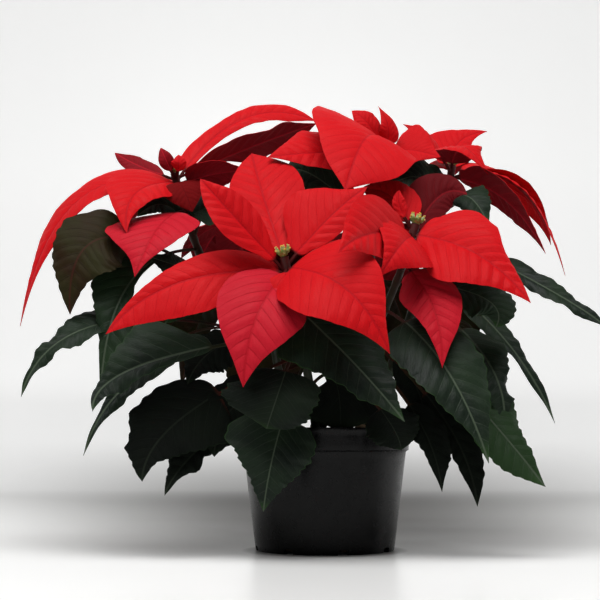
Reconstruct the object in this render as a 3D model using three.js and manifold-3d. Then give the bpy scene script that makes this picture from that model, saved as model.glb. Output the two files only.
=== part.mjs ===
// Poinsettia in a nursery pot: a pot, its soil, three rooted plants and seven red bract heads.
// Millimetres, +Z up, origin at the centre of the pot's flat underside, the plant's front towards -Y.

import * as THREE from 'three';
import { mergeVertices } from 'three/addons/utils/BufferGeometryUtils.js';
import loadManifold from 'manifold-3d';

const solids = await loadManifold();
solids.setup();

// ---- driving dimensions ------------------------------------------------------------------------

const GAP = 0.3; // between solids that rest on each other

const POT = {
  height: 115,
  footRadius: 66,
  footRound: 1.5,
  wallRadius: 78, // outside, just under the band
  rimRadius: 82,
  rimRound: 1,
  band: 21, // height of the band below the rim
  bandTaper: 1.5,
  wall: 2,
  floor: 2.5,
  sides: 28,
};
const DRAIN = { count: 8, width: 10, height: 5, depth: 14, turn: 0.3 };
const SOIL = { level: 98, edgeDrop: 6, shoulderRadius: 58, mound: 5, moundRadius: 30, holeClearance: 0.4 };
const TRUNK = { radius: 6.5, bottom: 52, fork: 118, sides: 6 };
const STEM = { radiusLow: 4.6, radiusHigh: 3.4, sides: 6, steps: 6 };
const SPUR = 44; // the red top length of each stem, which carries the bracts
const BLADE = {
  thickness: 0.8,
  stalkThickness: 2.4,
  stalkHalfWidth: 1.4,
  thinBy: 0.15, // share of the blade past which it has its own thickness
  longestStalk: 0.45, // share of the whole
};
const LOBE_SPAN = 0.12; // half the share of a blade's length that a pointed lobe takes
const LEFT_EDGE_OFFSET = 2; // radians by which the left edge's waves lead the right's
const CUP = { count: 6, height: 5.6, radius: 1.8, mouth: 1.4, ring: 4.4, lean: 0.06, sunk: 1, sides: 4 };
const SEAT = { height: 4, foot: 2.6, top: 6.2 }; // the cone under each cluster of cups

const BRACT = { stalk: 12, fold: 0.1, curl: 0.16, wave: 0.8, waves: 2, rise: 0.6, fall: 0.95 };
const LEAF = { stalk: 46, fold: 0.14, curl: 0.14, wave: 2.2, waves: 2.5, rise: 0.55, fall: 0.95 };

// Where each plant is rooted, and which heads it carries.
const PLANTS = {
  front: { foot: [-8, -30], heads: ['a', 'b'] },
  left: { foot: [-36, 16], heads: ['c', 'f'] },
  right: { foot: [36, 16], heads: ['d', 'e', 'g'] },
};

// Each stem passes `via` on its way to its head's top.
const STEMS = {
  a: { via: [-22, -92, 190], top: [-38, -120, 264] },
  b: { via: [48, -72, 210], top: [82, -80, 300] },
  c: { via: [-108, 8, 250], top: [-147, -8, 364] },
  d: { via: [46, 16, 276], top: [61, 14, 399] },
  e: { via: [100, 36, 264], top: [133, 52, 385] },
  f: { via: [-58, 68, 240], top: [-86, 104, 352] },
  g: { via: [42, 76, 230], top: [58, 122, 346] },
};

// A bract: mm below the stem's top, a point half way along it, its tip, its width, and the way its
// upper side looks. A large one gives its half widths, left and right of the midrib, at OUTLINE.
const BRACTS = {
  a: [
    bract(9, [-57, -78, 325], [-70, -40, 376], [[10, 24, 30, 29, 17], [16, 32, 39, 40, 30]],
      [0, -1, 0.5]),
    bract(16, [-83, -129, 300], [-112, -125, 333], [[8, 18, 22, 16, 8], [8, 17, 20, 15, 7]],
      [-0.3, -1, 0.9], { fold: 0.3 }),
    bract(14, [-128, -130, 240], [-189, -150, 193], [[12, 27, 35, 30, 17], [16, 25, 22, 13, 6]],
      [0, -1, 0.45], { stalk: 5 }),
    bract(16, [-60, -158, 208], [-71, -170, 147], [[22, 35, 39, 30, 13], [24, 37, 38, 28, 12]],
      [0, -1, 0.3], { stalk: 5 }),
    bract(11, [14, -176, 229], [50, -184, 174], [[44, 44, 42, 28, 10], [32, 42, 43, 32, 14]],
      [0.2, -1, 0.3], { stalk: 5 }),
    bract(9, [2, -114, 300], [37, -105, 330], [[18, 40, 46, 33, 10], [8, 16, 18, 12, 7]],
      [0.2, -1, 0.9]),
    bract(12, [-35, -135, 241], [-23, -138, 218], 36, [0, -1, 0.3]),
    bract(12, [-94, -84, 270], [-134, -58, 258], 50, [-0.2, 0, 1]),
    bract(30, [-37, -84, 272], [-36, -76, 296], 80, [0, -1, 0.3]),
  ],
  b: [
    bract(10, [38, -150, 280], [8, -190, 257], [[12, 22, 24, 16, 7], [20, 34, 34, 22, 8]],
      [0.1, -1, 0]),
    bract(13, [64, -138, 272], [44, -150, 242], [[26, 33, 31, 22, 9], [46, 42, 28, 14, 5]],
      [0.4, -0.8, 0.4], { stalk: 5 }),
    bract(11, [132, -114, 268], [175, -140, 221], [[26, 46, 37, 20, 9], [16, 36, 42, 33, 14]],
      [0.3, -1, 0.3], { stalk: 5, lobes: [[-1, 0.45, 4]] }),
    bract(38, [93, -122, 219], [98, -140, 165], [[14, 25, 27, 19, 7], [14, 24, 20, 13, 6]],
      [0, -1, 0.2], { stalk: 13 }),
    bract(7, [68, -84, 315], [68, -80, 332], 13, [0, -1, 0.2]),
    bract(20, [107, -44, 332], [134, -50, 334], [[6, 24, 28, 22, 10], [8, 14, 16, 14, 8]],
      [0, -1, 0.2]),
    bract(10, [64, -60, 328], [34, -44, 341], 46, [0, -1, 0.6]),
  ],
  c: [
    bract(13, [-238, -28, 332], [-287, -40, 210], [[14, 22, 24, 18, 7], [20, 33, 29, 20, 7]],
      [-0.6, -0.7, 0.7]),
    bract(10, [-177, -62, 333], [-181, -90, 290], [[16, 24, 22, 15, 6], [34, 38, 35, 20, 8]],
      [0, -1, 0.7], { stalk: 5 }),
    bract(7, [-183, 5, 374], [-210, 20, 391], 22, [0, -1, 0.6]),
    bract(7, [-152, -26, 370], [-159, -22, 386], 15, [0, -1, 0]),
    bract(7, [-141, -28, 367], [-142, -22, 379], 15, [0, -1, 0]),
    bract(14, [-137, -34, 346], [-126, -42, 319], 46, [0.1, -1, 0.4]),
    bract(9, [-82, 32, 429], [-7, 60, 434], [[14, 14, 13, 18, 16], [6, 9, 11, 15, 13]],
      [0, -0.8, 0.7]),
    bract(6, [-75, 18, 396], [-7, 38, 426], [[6, 8, 18, 26, 26], [10, 26, 20, 21, 13]],
      [0, 0.5, 1], { wave: 3, waves: 3 }),
    bract(12, [-111, -20, 360], [-76, -20, 364], 46, [0.2, 0.4, 1]),
    bract(38, [-154, -82, 296], [-170, -114, 247], [[16, 34, 31, 19, 7], [30, 48, 51, 35, 12]],
      [-0.2, -1, 0.3], { stalk: 24 }),
    bract(15, [-180, 50, 366], [-206, 92, 330], 54, [-0.3, 0.4, 1]),
  ],
  d: [
    bract(5, [39, -54, 388], [17, -100, 328], [[26, 44, 50, 50, 40], [62, 68, 58, 42, 26]],
      [0.2, -1, 0.7], { stalk: 5 }),
    bract(7, [-3, -32, 379], [-54, -55, 369], [[14, 28, 30, 20, 8], [14, 36, 43, 28, 14]],
      [0, -1, 0.8]),
    bract(8, [45, 2, 415], [28, 8, 431], 24, [0, -1, 0.4]),
    bract(8, [64, -2, 409], [54, 2, 434], 20, [0, -1, 0.3], { rise: 0.3, fall: 1.2 }),
    bract(6, [87, 0, 389], [114, -12, 379], [[22, 34, 28, 18, 7], [14, 22, 20, 12, 6]],
      [0.2, -1, 0.3]),
    bract(9, [24, 50, 402], [-14, 84, 390], 56, [0, 0.3, 1]),
    bract(12, [66, 62, 396], [62, 110, 374], 60, [0, 0.4, 1]),
  ],
  e: [
    bract(6, [139, 16, 396], [162, -2, 364], [[18, 26, 25, 17, 7], [18, 28, 27, 17, 7]],
      [0.1, -0.5, 1], { stalk: 8 }),
    bract(7, [105, 34, 407], [81, 30, 423], [[7, 10, 10, 8, 4], [9, 16, 18, 14, 6]],
      [0.2, -0.7, 0.7]),
    bract(10, [143, 84, 416], [177, 98, 433], [[14, 30, 32, 19, 7], [6, 14, 16, 11, 5]],
      [0, -1, 0.7]),
    bract(14, [198, 36, 358], [240, 20, 266], [[42, 40, 20, 10, 5], [5, 13, 20, 17, 8]],
      [0.8, -0.35, 0.6], { fold: 0.3 }),
    bract(13, [178, 10, 343], [214, -15, 283], [[8, 18, 22, 18, 8], [14, 28, 30, 20, 8]],
      [0.7, 0.3, 0.7]),
    bract(10, [140, 104, 404], [148, 146, 396], 48, [0, 0.5, 1]),
    bract(14, [189, 96, 373], [221, 122, 334], 46, [0.5, 0.3, 1]),
    bract(13, [197, 44, 358], [229, 32, 299], [[10, 18, 20, 15, 7], [8, 16, 20, 16, 8]],
      [0.6, 0.5, 0.6]),
  ],
  f: [
    spread('f', 9, 100, 58, 6, 34),
    spread('f', 9, 10, 50, 6, 30),
    spread('f', 10, 215, 52, 10, 30),
    spread('f', 12, 55, 92, 34, 54),
    spread('f', 13, 122, 100, 40, 58),
    spread('f', 15, 92, 116, 76, 60),
    spread('f', 16, 158, 72, 36, 44),
  ],
  g: [
    spread('g', 9, 70, 60, 6, 34),
    spread('g', 9, 160, 50, 6, 30),
    spread('g', 10, 340, 52, 8, 30),
    spread('g', 12, 25, 98, 42, 56),
    spread('g', 13, 115, 96, 40, 58),
    spread('g', 15, 70, 118, 78, 62),
    spread('g', 16, 345, 84, 56, 46),
  ],
};

// A leaf: its stem, the share of the way up the stem, then as a bract.
const LEAVES = {
  front: [
    leaf('a', 0.45, [-42, -120, 110], [-55, -130, 43], [[28, 34, 29, 21, 9], [34, 44, 34, 20, 9]],
      [0, -1, 0.3], { stalk: 60 }),
    leaf('a', 0.62, [-40, -142, 150], [-52, -146, 113],
      [[28, 35, 34, 31, 22], [26, 34, 44, 46, 32]], [0, -1, 0.5], { stalk: 40 }),
    leaf('a', 0.5, [-127, -100, 124], [-160, -120, 68],
      [[38, 40, 32, 20, 8], [22, 38, 37, 25, 12]], [-0.2, -1, 0.3], { stalk: 60 }),
    leaf('a', 0.42, [-106, -92, 103], [-141, -115, 56], [[16, 14, 10, 7, 4], [24, 34, 24, 12, 4]],
      [-0.2, -1, 0.3], { stalk: 60 }),
    leaf('a', 0.6, [-161, -112, 170], [-202, -132, 128], [[6, 8, 13, 15, 8], [16, 40, 28, 10, 4]],
      [-0.2, -1, 0.3], { stalk: 50 }),
    leaf('a', 0.75, [21, -135, 171], [64, -155, 119],
      [[32, 35, 33, 24, 10], [44, 40, 30, 22, 10]], [0.1, -1, 0.6], { stalk: 15 }),
    leaf('b', 0.3, [53, -108, 122], [64, -118, 95], 48, [0.1, -1, 0.3], { stalk: 40 }),
    leaf('b', 0.62, [100, -128, 169], [135, -150, 84],
      [[24, 32, 36, 28, 12], [32, 34, 32, 22, 8]], [0.2, -1, 0.3], { stalk: 30 }),
    leaf('b', 0.42, [81, -102, 121], [99, -118, 59], [[12, 18, 18, 15, 5], [8, 12, 11, 7, 4]],
      [0.1, -1, 0.3], { stalk: 60 }),
    leaf('b', 0.48, [106, -92, 120], [131, -106, 46], [[8, 16, 18, 16, 8], [8, 12, 12, 9, 5]],
      [0.1, -1, 0.3], { stalk: 60 }),
    leaf('b', 0.75, [140, -86, 233], [152, -94, 204], 52, [0.2, -1, 0.6], { stalk: 30 }),
    leaf('a', 0.68, [-95, -78, 190], [-124, -95, 153], [[16, 24, 26, 20, 10], [8, 16, 20, 18, 8]],
      [0, -1, 0.6], { stalk: 36 }),
    leaf('a', 0.3, [7, -66, 160], [13, -76, 111], [[24, 40, 44, 46, 50], [24, 40, 44, 46, 44]],
      [0, -1, 0.4], { stalk: 20 }),
    leaf('b', 0.5, [76, -78, 163], [89, -90, 113], 32, [0, -1, 0.4], { stalk: 30 }),
    leaf('a', 0.45, [-79, -98, 137], [-99, -104, 89], 50, [-0.1, -1, 0.3], { stalk: 30 }),
  ],
  left: [
    leaf('c', 0.62, [-207, -65, 290], [-233, -79, 217],
      [[12, 32, 40, 38, 16], [16, 34, 36, 28, 13]], [-0.2, -1, 0.3], { stalk: 60 }),
    leaf('c', 0.72, [-183, -62, 246], [-203, -84, 139], [[3, 4, 10, 22, 18], [14, 36, 32, 13, 4]],
      [0, -1, 0.3], { stalk: 50 }),
    leaf('c', 0.42, [-214, -74, 207], [-272, -95, 142], [[10, 14, 15, 10, 5], [18, 22, 14, 9, 5]],
      [-0.3, -1, 0.6], { stalk: 80, wave: 3, waves: 3.5 }),
    leaf('c', 0.32, [-168, -72, 163], [-216, -92, 90], [[6, 11, 12, 9, 4], [6, 9, 8, 5, 2]],
      [-0.3, -1, 0.3], { stalk: 70 }),
    leaf('c', 0.76, [-112, -7, 332], [-99, -14, 309], 60, [0.2, -0.8, 0.8], { stalk: 12 }),
    leaf('c', 0.7, [-151, -2, 331], [-182, -12, 320], 50, [0, -0.7, 0.7], { stalk: 16 }),
    leaf('c', 0.55, [-120, -30, 246], [-150, -48, 212], 64, [0, -1, 0.7], { stalk: 16 }),
    hanging('c', 0.42, 165, 92, 50, 56),
    hanging('c', 0.55, 130, 112, 76, 60),
    hanging('f', 0.44, 146, 108, 46, 56),
    hanging('f', 0.48, 105, 124, 90, 62),
    hanging('f', 0.62, 76, 112, 110, 60),
    hanging('f', 0.72, 140, 112, 120, 62),
    leaf('c', 0.66, [-134, -40, 267], [-165, -50, 275], 24, [-0.1, -1, 0.4]),
  ],
  right: [
    leaf('e', 0.5, [146, -70, 178], [158, -85, 109], [[14, 24, 15, 5, 3], [10, 18, 20, 15, 7]],
      [0.2, -1, 0.2], { stalk: 60, lobes: [[-1, 0.7, 7]] }),
    leaf('e', 0.38, [131, -80, 141], [191, -105, 63], [[14, 30, 32, 18, 9], [12, 18, 22, 27, 18]],
      [0.3, -1, 0.3], { stalk: 70 }),
    leaf('e', 0.6, [166, -36, 202], [212, -50, 119], [[16, 12, 9, 7, 4], [14, 12, 8, 5, 3]],
      [0.3, -1, 0.4], { stalk: 60 }),
    leaf('e', 0.75, [212, -22, 249], [266, -40, 208], [[14, 13, 10, 7, 4], [8, 11, 11, 9, 5]],
      [0, -1, 0.7], { stalk: 50 }),
    leaf('e', 0.8, [100, 16, 363], [61, -2, 350], 52, [0, -1, 0.5], { stalk: 14 }),
    leaf('e', 0.78, [134, -14, 341], [156, -36, 308], 52, [0.2, -1, 0.5], { stalk: 16 }),
    leaf('d', 0.7, [-6, 6, 362], [-36, -8, 364], 44, [0, -1, 0.5], { stalk: 14 }),
    hanging('e', 0.45, 20, 100, 100, 54),
    hanging('e', 0.58, 60, 112, 110, 58),
    hanging('g', 0.36, 40, 118, 74, 58),
    hanging('g', 0.46, 85, 124, 90, 62),
    hanging('g', 0.62, 98, 112, 110, 60),
    hanging('g', 0.72, 58, 112, 120, 60),
  ],
};

function bract(down, via, tip, width, face, form = {}) {
  return { down, via, tip, ...widths(width), face, ...BRACT, ...form };
}

function leaf(stem, share, via, tip, width, face, form = {}) {
  return { stem, share, via, tip, ...widths(width), face, ...LEAF, ...form };
}

function widths(width) {
  return Array.isArray(width) ? { left: width[0], right: width[1], fine: true } : { width };
}

// A bract that lies out from its head's top: a compass angle from +X, how far it reaches and drops.
function spread(head, down, angle, reach, drop, width) {
  const { via, tip, face } = away(vector(STEMS[head].top), down, angle, reach, drop);
  return bract(down, via, tip, width, face);
}

// A leaf that hangs out from its stem, likewise.
function hanging(stem, share, angle, reach, drop, width) {
  const { via, tip, face } = away(stemCurve(stem).getPointAt(share), 0, angle, reach, drop);
  return leaf(stem, share, via, tip, width, face);
}

function away(start, down, angle, reach, drop) {
  const turn = (angle * Math.PI) / 180;
  const out = new THREE.Vector3(Math.cos(turn), Math.sin(turn), 0);
  const via = start.clone().addScaledVector(out, 0.6 * reach);
  const tip = start.clone().addScaledVector(out, reach);
  via.z -= down + 0.2 * drop;
  tip.z -= down + drop;
  return { via: via.toArray(), tip: tip.toArray(), face: [0.6 * out.x, 0.6 * out.y, 1] };
}

// ---- colours -----------------------------------------------------------------------------------

const FINISHES = {
  pot: { color: 0x141416, roughness: 0.4 },
  soil: { color: 0x2c2019, roughness: 1 },
  plant: { color: 0x24402c, roughness: 0.6 },
  bracts: { color: 0xc8141e, roughness: 0.55 },
  cyathia: { color: 0x9aa832, roughness: 0.5 },
};

// ---- solids ------------------------------------------------------------------------------------

function toSolid(geometry) {
  const bare = geometry.clone();
  bare.deleteAttribute('normal');
  bare.deleteAttribute('uv');
  const merged = mergeVertices(bare, 1e-4);
  return new solids.Manifold(new solids.Mesh({
    numProp: 3,
    vertProperties: merged.attributes.position.array,
    triVerts: new Uint32Array(merged.index.array),
  }));
}

function toGeometry(solid) {
  const mesh = solid.getMesh();
  const geometry = new THREE.BufferGeometry();
  geometry.setAttribute('position', new THREE.BufferAttribute(new Float32Array(mesh.vertProperties), 3));
  geometry.setIndex(new THREE.BufferAttribute(new Uint32Array(mesh.triVerts), 1));
  geometry.computeVertexNormals();
  return geometry;
}

function fuse(parts) {
  return parts.map(toSolid).reduce((whole, part) => whole.add(part));
}

// Rings of points, all alike in count, joined into one closed skin with a fan over each end.
function skin(rings) {
  const points = rings.flat();
  const around = rings[0].length;
  const faces = [];
  for (let ring = 0; ring + 1 < rings.length; ring += 1) {
    for (let side = 0; side < around; side += 1) {
      const next = (side + 1) % around;
      const low = ring * around;
      const high = low + around;
      faces.push([low + side, low + next, high + next], [low + side, high + next, high + side]);
    }
  }
  const last = (rings.length - 1) * around;
  for (let side = 1; side + 1 < around; side += 1) {
    faces.push([0, side + 1, side], [last, last + side, last + side + 1]);
  }
  return indexed(points, faces);
}

function indexed(points, faces) {
  const geometry = new THREE.BufferGeometry();
  geometry.setAttribute('position', new THREE.Float32BufferAttribute(points.flatMap((p) => p.toArray()), 3));
  geometry.setIndex(faces.flat());
  return geometry;
}

function vector(xyz) {
  return new THREE.Vector3(...xyz);
}

// A curve from start through a point half way to end.
function bow(start, via, end) {
  const middle = vector(via).multiplyScalar(2);
  middle.sub(start.clone().add(end).multiplyScalar(0.5));
  return new THREE.QuadraticBezierCurve3(start, middle, end);
}

function tube(curve, from, to, radiusFrom, radiusTo, sides, steps) {
  const reference = new THREE.Vector3(0.3, 1, 0.1).normalize();
  const rings = [];
  for (let step = 0; step <= steps; step += 1) {
    const share = step / steps;
    const along = from + (to - from) * share;
    const centre = curve.getPointAt(along);
    const ahead = curve.getTangentAt(along);
    const across = new THREE.Vector3().crossVectors(reference, ahead).normalize();
    const over = new THREE.Vector3().crossVectors(ahead, across);
    const radius = radiusFrom + (radiusTo - radiusFrom) * share;
    const ring = [];
    for (let side = 0; side < sides; side += 1) {
      const angle = (2 * Math.PI * side) / sides;
      ring.push(centre.clone()
        .addScaledVector(across, radius * Math.cos(angle))
        .addScaledVector(over, radius * Math.sin(angle)));
    }
    rings.push(ring);
  }
  return skin(rings);
}

// ---- blades: bracts and leaves -----------------------------------------------------------------

// Shares of a blade's length, past its stalk, at which an outline gives its half widths.
const OUTLINE = [0.08, 0.24, 0.42, 0.62, 0.82];
const PLAIN_OUTLINE = [0.15, 0.42, 0.72];
const FINE_STRIPS = [-1, -0.5, 0, 0.5, 1];
const PLAIN_STRIPS = [-1, 0, 1];

// A smooth curve through (at, value) pairs: each slope is that between the neighbours.
function smooth(at, values, along) {
  const last = at.length - 1;
  const slope = (index) => {
    const before = Math.max(0, index - 1);
    const after = Math.min(last, index + 1);
    return (values[after] - values[before]) / (at[after] - at[before]);
  };
  const index = Math.min(last - 1, Math.max(0, at.findIndex((value) => value > along) - 1));
  const span = at[index + 1] - at[index];
  const t = Math.min(1, Math.max(0, (along - at[index]) / span));
  const [t2, t3] = [t * t, t * t * t];
  return (2 * t3 - 3 * t2 + 1) * values[index] + (t3 - 2 * t2 + t) * span * slope(index)
    + (3 * t2 - 2 * t3) * values[index + 1] + (t3 - t2) * span * slope(index + 1);
}

// Half the width at a share of the length, on the left (-1) or the right (1) of the midrib.
function halfWidth(row, along, side) {
  const edge = side < 0 ? row.left : row.right;
  let half;
  if (edge) {
    half = smooth([0, ...OUTLINE, 1], [BLADE.stalkHalfWidth, ...edge, 0], along);
  } else {
    const peak = row.rise / (row.rise + row.fall);
    const top = peak ** row.rise * (1 - peak) ** row.fall;
    half = (0.5 * row.width * along ** row.rise * (1 - along) ** row.fall) / top;
  }
  for (const [lobeSide, at, reach] of row.lobes ?? []) {
    if (lobeSide === side) {
      half += reach * Math.max(0, 1 - Math.abs(along - at) / LOBE_SPAN);
    }
  }
  return Math.max(BLADE.stalkHalfWidth, half);
}

function lift(row, along, across, half) {
  const edge = Math.abs(across);
  const offset = across < 0 ? LEFT_EDGE_OFFSET : 0;
  const turn = 2 * Math.PI * row.waves * along + offset;
  const ripple = row.wave * edge * edge * Math.sin(turn) * Math.sin(Math.PI * along);
  return half * (row.fold * edge - row.curl * edge * edge) + ripple;
}

// The frame of a blade at a share of its length: a point, right and up.
function station(curve, face, share) {
  const point = curve.getPoint(share);
  const ahead = curve.getTangent(share);
  const up = face.clone().addScaledVector(ahead, -face.dot(ahead)).normalize();
  const right = new THREE.Vector3().crossVectors(ahead, up);
  return { point, right, up };
}

function blade(root, row) {
  const outline = row.fine ? OUTLINE : PLAIN_OUTLINE;
  const strips = row.fine ? FINE_STRIPS : PLAIN_STRIPS;
  const tip = vector(row.tip);
  const curve = bow(root, row.via, tip);
  const face = vector(row.face).normalize();
  const stalk = Math.min(BLADE.longestStalk, row.stalk / curve.getLength());
  const stations = [0, ...outline];
  const shares = [0, ...stations.map((along) => stalk + (1 - stalk) * along)];

  const points = [];
  shares.forEach((share, ring) => {
    const along = ring === 0 ? 0 : stations[ring - 1];
    const blend = Math.min(1, along / BLADE.thinBy);
    const thickness = BLADE.stalkThickness + (BLADE.thickness - BLADE.stalkThickness) * blend;
    const { point, right, up } = station(curve, face, share);
    for (const side of [1, -1]) {
      for (const across of strips) {
        const half = ring === 0 ? BLADE.stalkHalfWidth : halfWidth(row, along, Math.sign(across) || 1);
        const height = lift(row, along, across, ring === 0 ? 0 : half) + (side * thickness) / 2;
        points.push(point.clone().addScaledVector(right, across * half).addScaledVector(up, height));
      }
    }
  });
  const end = station(curve, face, 1);
  points.push(end.point.clone().addScaledVector(end.up, BLADE.thickness / 2));
  points.push(end.point.clone().addScaledVector(end.up, -BLADE.thickness / 2));
  return indexed(points, bladeFaces(shares.length, strips.length));
}

// Both sides of a blade are split along the same diagonals, so that they can't cross.
function bladeFaces(rings, columns) {
  const faces = [];
  const upper = (ring, column) => ring * 2 * columns + column;
  const lower = (ring, column) => ring * 2 * columns + columns + column;
  const last = columns - 1;
  for (let ring = 0; ring + 1 < rings; ring += 1) {
    for (let column = 0; column < last; column += 1) {
      const left = column;
      const right = column + 1;
      const flip = column < last / 2;
      const [a, b, c, d] = [[ring, left], [ring, right], [ring + 1, right], [ring + 1, left]];
      const halves = flip ? [[a, b, c], [a, c, d]] : [[a, b, d], [b, c, d]];
      for (const half of halves) {
        faces.push(half.map((corner) => upper(...corner)));
        faces.push(half.map((corner) => lower(...corner)).reverse());
      }
    }
    const [u0, l0, u1, l1] = [upper(ring, 0), lower(ring, 0), upper(ring + 1, 0), lower(ring + 1, 0)];
    faces.push([u0, u1, l1], [u0, l1, l0]);
    const [v0, m0, v1, m1] = [upper(ring, last), lower(ring, last), upper(ring + 1, last), lower(ring + 1, last)];
    faces.push([v0, m1, v1], [v0, m0, m1]);
  }
  const topTip = rings * 2 * columns;
  const underTip = topTip + 1;
  for (let column = 0; column < last; column += 1) {
    faces.push([upper(0, column), lower(0, column), lower(0, column + 1)]);
    faces.push([upper(0, column), lower(0, column + 1), upper(0, column + 1)]);
    faces.push([upper(rings - 1, column), upper(rings - 1, column + 1), topTip]);
    faces.push([lower(rings - 1, column + 1), lower(rings - 1, column), underTip]);
  }
  faces.push([upper(rings - 1, 0), topTip, underTip], [upper(rings - 1, 0), underTip, lower(rings - 1, 0)]);
  faces.push([upper(rings - 1, last), underTip, topTip]);
  faces.push([upper(rings - 1, last), lower(rings - 1, last), underTip]);
  return faces;
}

// ---- pot and soil ------------------------------------------------------------------------------

function outerRadius(z) {
  const wallTop = POT.height - POT.band;
  return POT.footRadius + ((POT.wallRadius - POT.footRadius) * z) / wallTop;
}

function lathe(profile) {
  const outline = profile.map(([radius, z]) => new THREE.Vector2(radius, z));
  return new THREE.LatheGeometry(outline, POT.sides).rotateX(Math.PI / 2);
}

function pot() {
  const wallTop = POT.height - POT.band;
  const inner = outerRadius(POT.floor) - POT.wall;
  const body = toSolid(lathe([
    [0, 0], [POT.footRadius - POT.footRound, 0], [POT.footRadius, POT.footRound],
    [POT.wallRadius, wallTop], [POT.rimRadius - POT.bandTaper, wallTop + GAP],
    [POT.rimRadius, POT.height - POT.rimRound], [POT.rimRadius - POT.rimRound, POT.height],
    [POT.rimRadius - POT.wall, POT.height], [POT.wallRadius - POT.wall, wallTop],
    [inner, POT.floor], [0, POT.floor],
  ]));
  let cut = body;
  for (let slot = 0; slot < DRAIN.count; slot += 1) {
    const notch = new THREE.BoxGeometry(DRAIN.depth, DRAIN.width, 2 * DRAIN.height);
    notch.translate(POT.footRadius, 0, 0);
    notch.rotateZ((2 * Math.PI * (slot + DRAIN.turn)) / DRAIN.count);
    cut = cut.subtract(toSolid(notch));
  }
  return toGeometry(cut);
}

function soil() {
  const floor = POT.floor + GAP;
  const inset = POT.wall + GAP;
  const edge = SOIL.level - SOIL.edgeDrop;
  let body = toSolid(lathe([
    [0, floor], [outerRadius(floor) - inset, floor],
    [outerRadius(edge) - inset, edge], [SOIL.shoulderRadius, SOIL.level],
    [SOIL.moundRadius, SOIL.level + SOIL.mound], [0, SOIL.level + SOIL.mound],
  ]));
  for (const { foot } of Object.values(PLANTS)) {
    const bottom = TRUNK.bottom - GAP;
    const length = POT.height - bottom;
    const hole = new THREE.CylinderGeometry(
      TRUNK.radius + SOIL.holeClearance, TRUNK.radius + SOIL.holeClearance, length, TRUNK.sides,
    );
    hole.rotateX(Math.PI / 2).translate(foot[0], foot[1], bottom + length / 2);
    body = body.subtract(toSolid(hole));
  }
  return toGeometry(body);
}

// ---- plants, heads and cups --------------------------------------------------------------------

function rootOf(head) {
  return Object.values(PLANTS).find((plant) => plant.heads.includes(head)).foot;
}

function stemCurve(head) {
  const [x, y] = rootOf(head);
  return bow(new THREE.Vector3(x, y, TRUNK.fork - 8), STEMS[head].via, vector(STEMS[head].top));
}

function plant(name) {
  const { foot, heads } = PLANTS[name];
  const length = TRUNK.fork - TRUNK.bottom;
  const trunk = new THREE.CylinderGeometry(TRUNK.radius - 1, TRUNK.radius, length, TRUNK.sides);
  trunk.rotateX(Math.PI / 2).translate(foot[0], foot[1], TRUNK.bottom + length / 2);
  const stems = heads.map((head) => {
    const curve = stemCurve(head);
    const end = 1 - (SPUR + GAP) / curve.getLength();
    return tube(curve, 0, end, STEM.radiusLow, STEM.radiusHigh, STEM.sides, STEM.steps);
  });
  const leaves = LEAVES[name].map((row) => blade(stemCurve(row.stem).getPointAt(row.share), row));
  return toGeometry(fuse([trunk, ...stems, ...leaves]));
}

function head(name) {
  const curve = stemCurve(name);
  const length = curve.getLength();
  const spur = tube(curve, 1 - SPUR / length, 1, STEM.radiusHigh, STEM.radiusHigh + 0.8, STEM.sides, 3);
  const bracts = BRACTS[name].map((row) => blade(curve.getPointAt(1 - row.down / length), row));
  return toGeometry(fuse([spur, ...bracts]));
}

function cyathia(name) {
  const curve = stemCurve(name);
  const aim = curve.getTangentAt(1);
  const turn = new THREE.Quaternion().setFromUnitVectors(new THREE.Vector3(0, 0, 1), aim);
  const seat = curve.getPointAt(1).addScaledVector(aim, GAP);
  const cone = new THREE.CylinderGeometry(SEAT.top, SEAT.foot, SEAT.height, CUP.count);
  const parts = [cone.rotateX(Math.PI / 2).translate(0, 0, SEAT.height / 2)];
  for (let cup = 0; cup < CUP.count; cup += 1) {
    const angle = (2 * Math.PI * cup) / (CUP.count - 1);
    const reach = cup === 0 ? 0 : CUP.ring;
    const one = new THREE.CylinderGeometry(CUP.mouth, CUP.radius, CUP.height, CUP.sides);
    one.rotateX(Math.PI / 2).translate(0, 0, SEAT.height - CUP.sunk + CUP.height / 2);
    one.rotateY(reach * CUP.lean).rotateZ(angle).translate(reach * Math.cos(angle), reach * Math.sin(angle), 0);
    parts.push(one);
  }
  const placed = parts.map((part) => part.applyQuaternion(turn).translate(...seat.toArray()));
  return toGeometry(fuse(placed));
}

// ---- assembly ----------------------------------------------------------------------------------

function node(name, geometry, finish) {
  const material = new THREE.MeshStandardMaterial({ metalness: 0, ...FINISHES[finish] });
  const mesh = new THREE.Mesh(geometry, material);
  mesh.name = name;
  return mesh;
}

const poinsettia = new THREE.Group();
poinsettia.add(node('pot', pot(), 'pot'));
poinsettia.add(node('soil', soil(), 'soil'));
for (const name of Object.keys(PLANTS)) {
  poinsettia.add(node(`plant_${name}`, plant(name), 'plant'));
}
for (const name of Object.keys(STEMS)) {
  poinsettia.add(node(`bracts_${name}`, head(name), 'bracts'));
  poinsettia.add(node(`cyathia_${name}`, cyathia(name), 'cyathia'));
}

export default poinsettia;
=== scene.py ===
"""Potted poinsettia: the finished pot, peat, leafy stems, bract heads and flower cups.

Lengths in the tables are millimetres, +Z up, origin at the centre of the pot's flat underside and
the plant's front towards -Y. Every piece is made in metres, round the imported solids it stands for.
"""

import math

import bmesh
import bpy
import numpy as np
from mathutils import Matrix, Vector, noise


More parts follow.
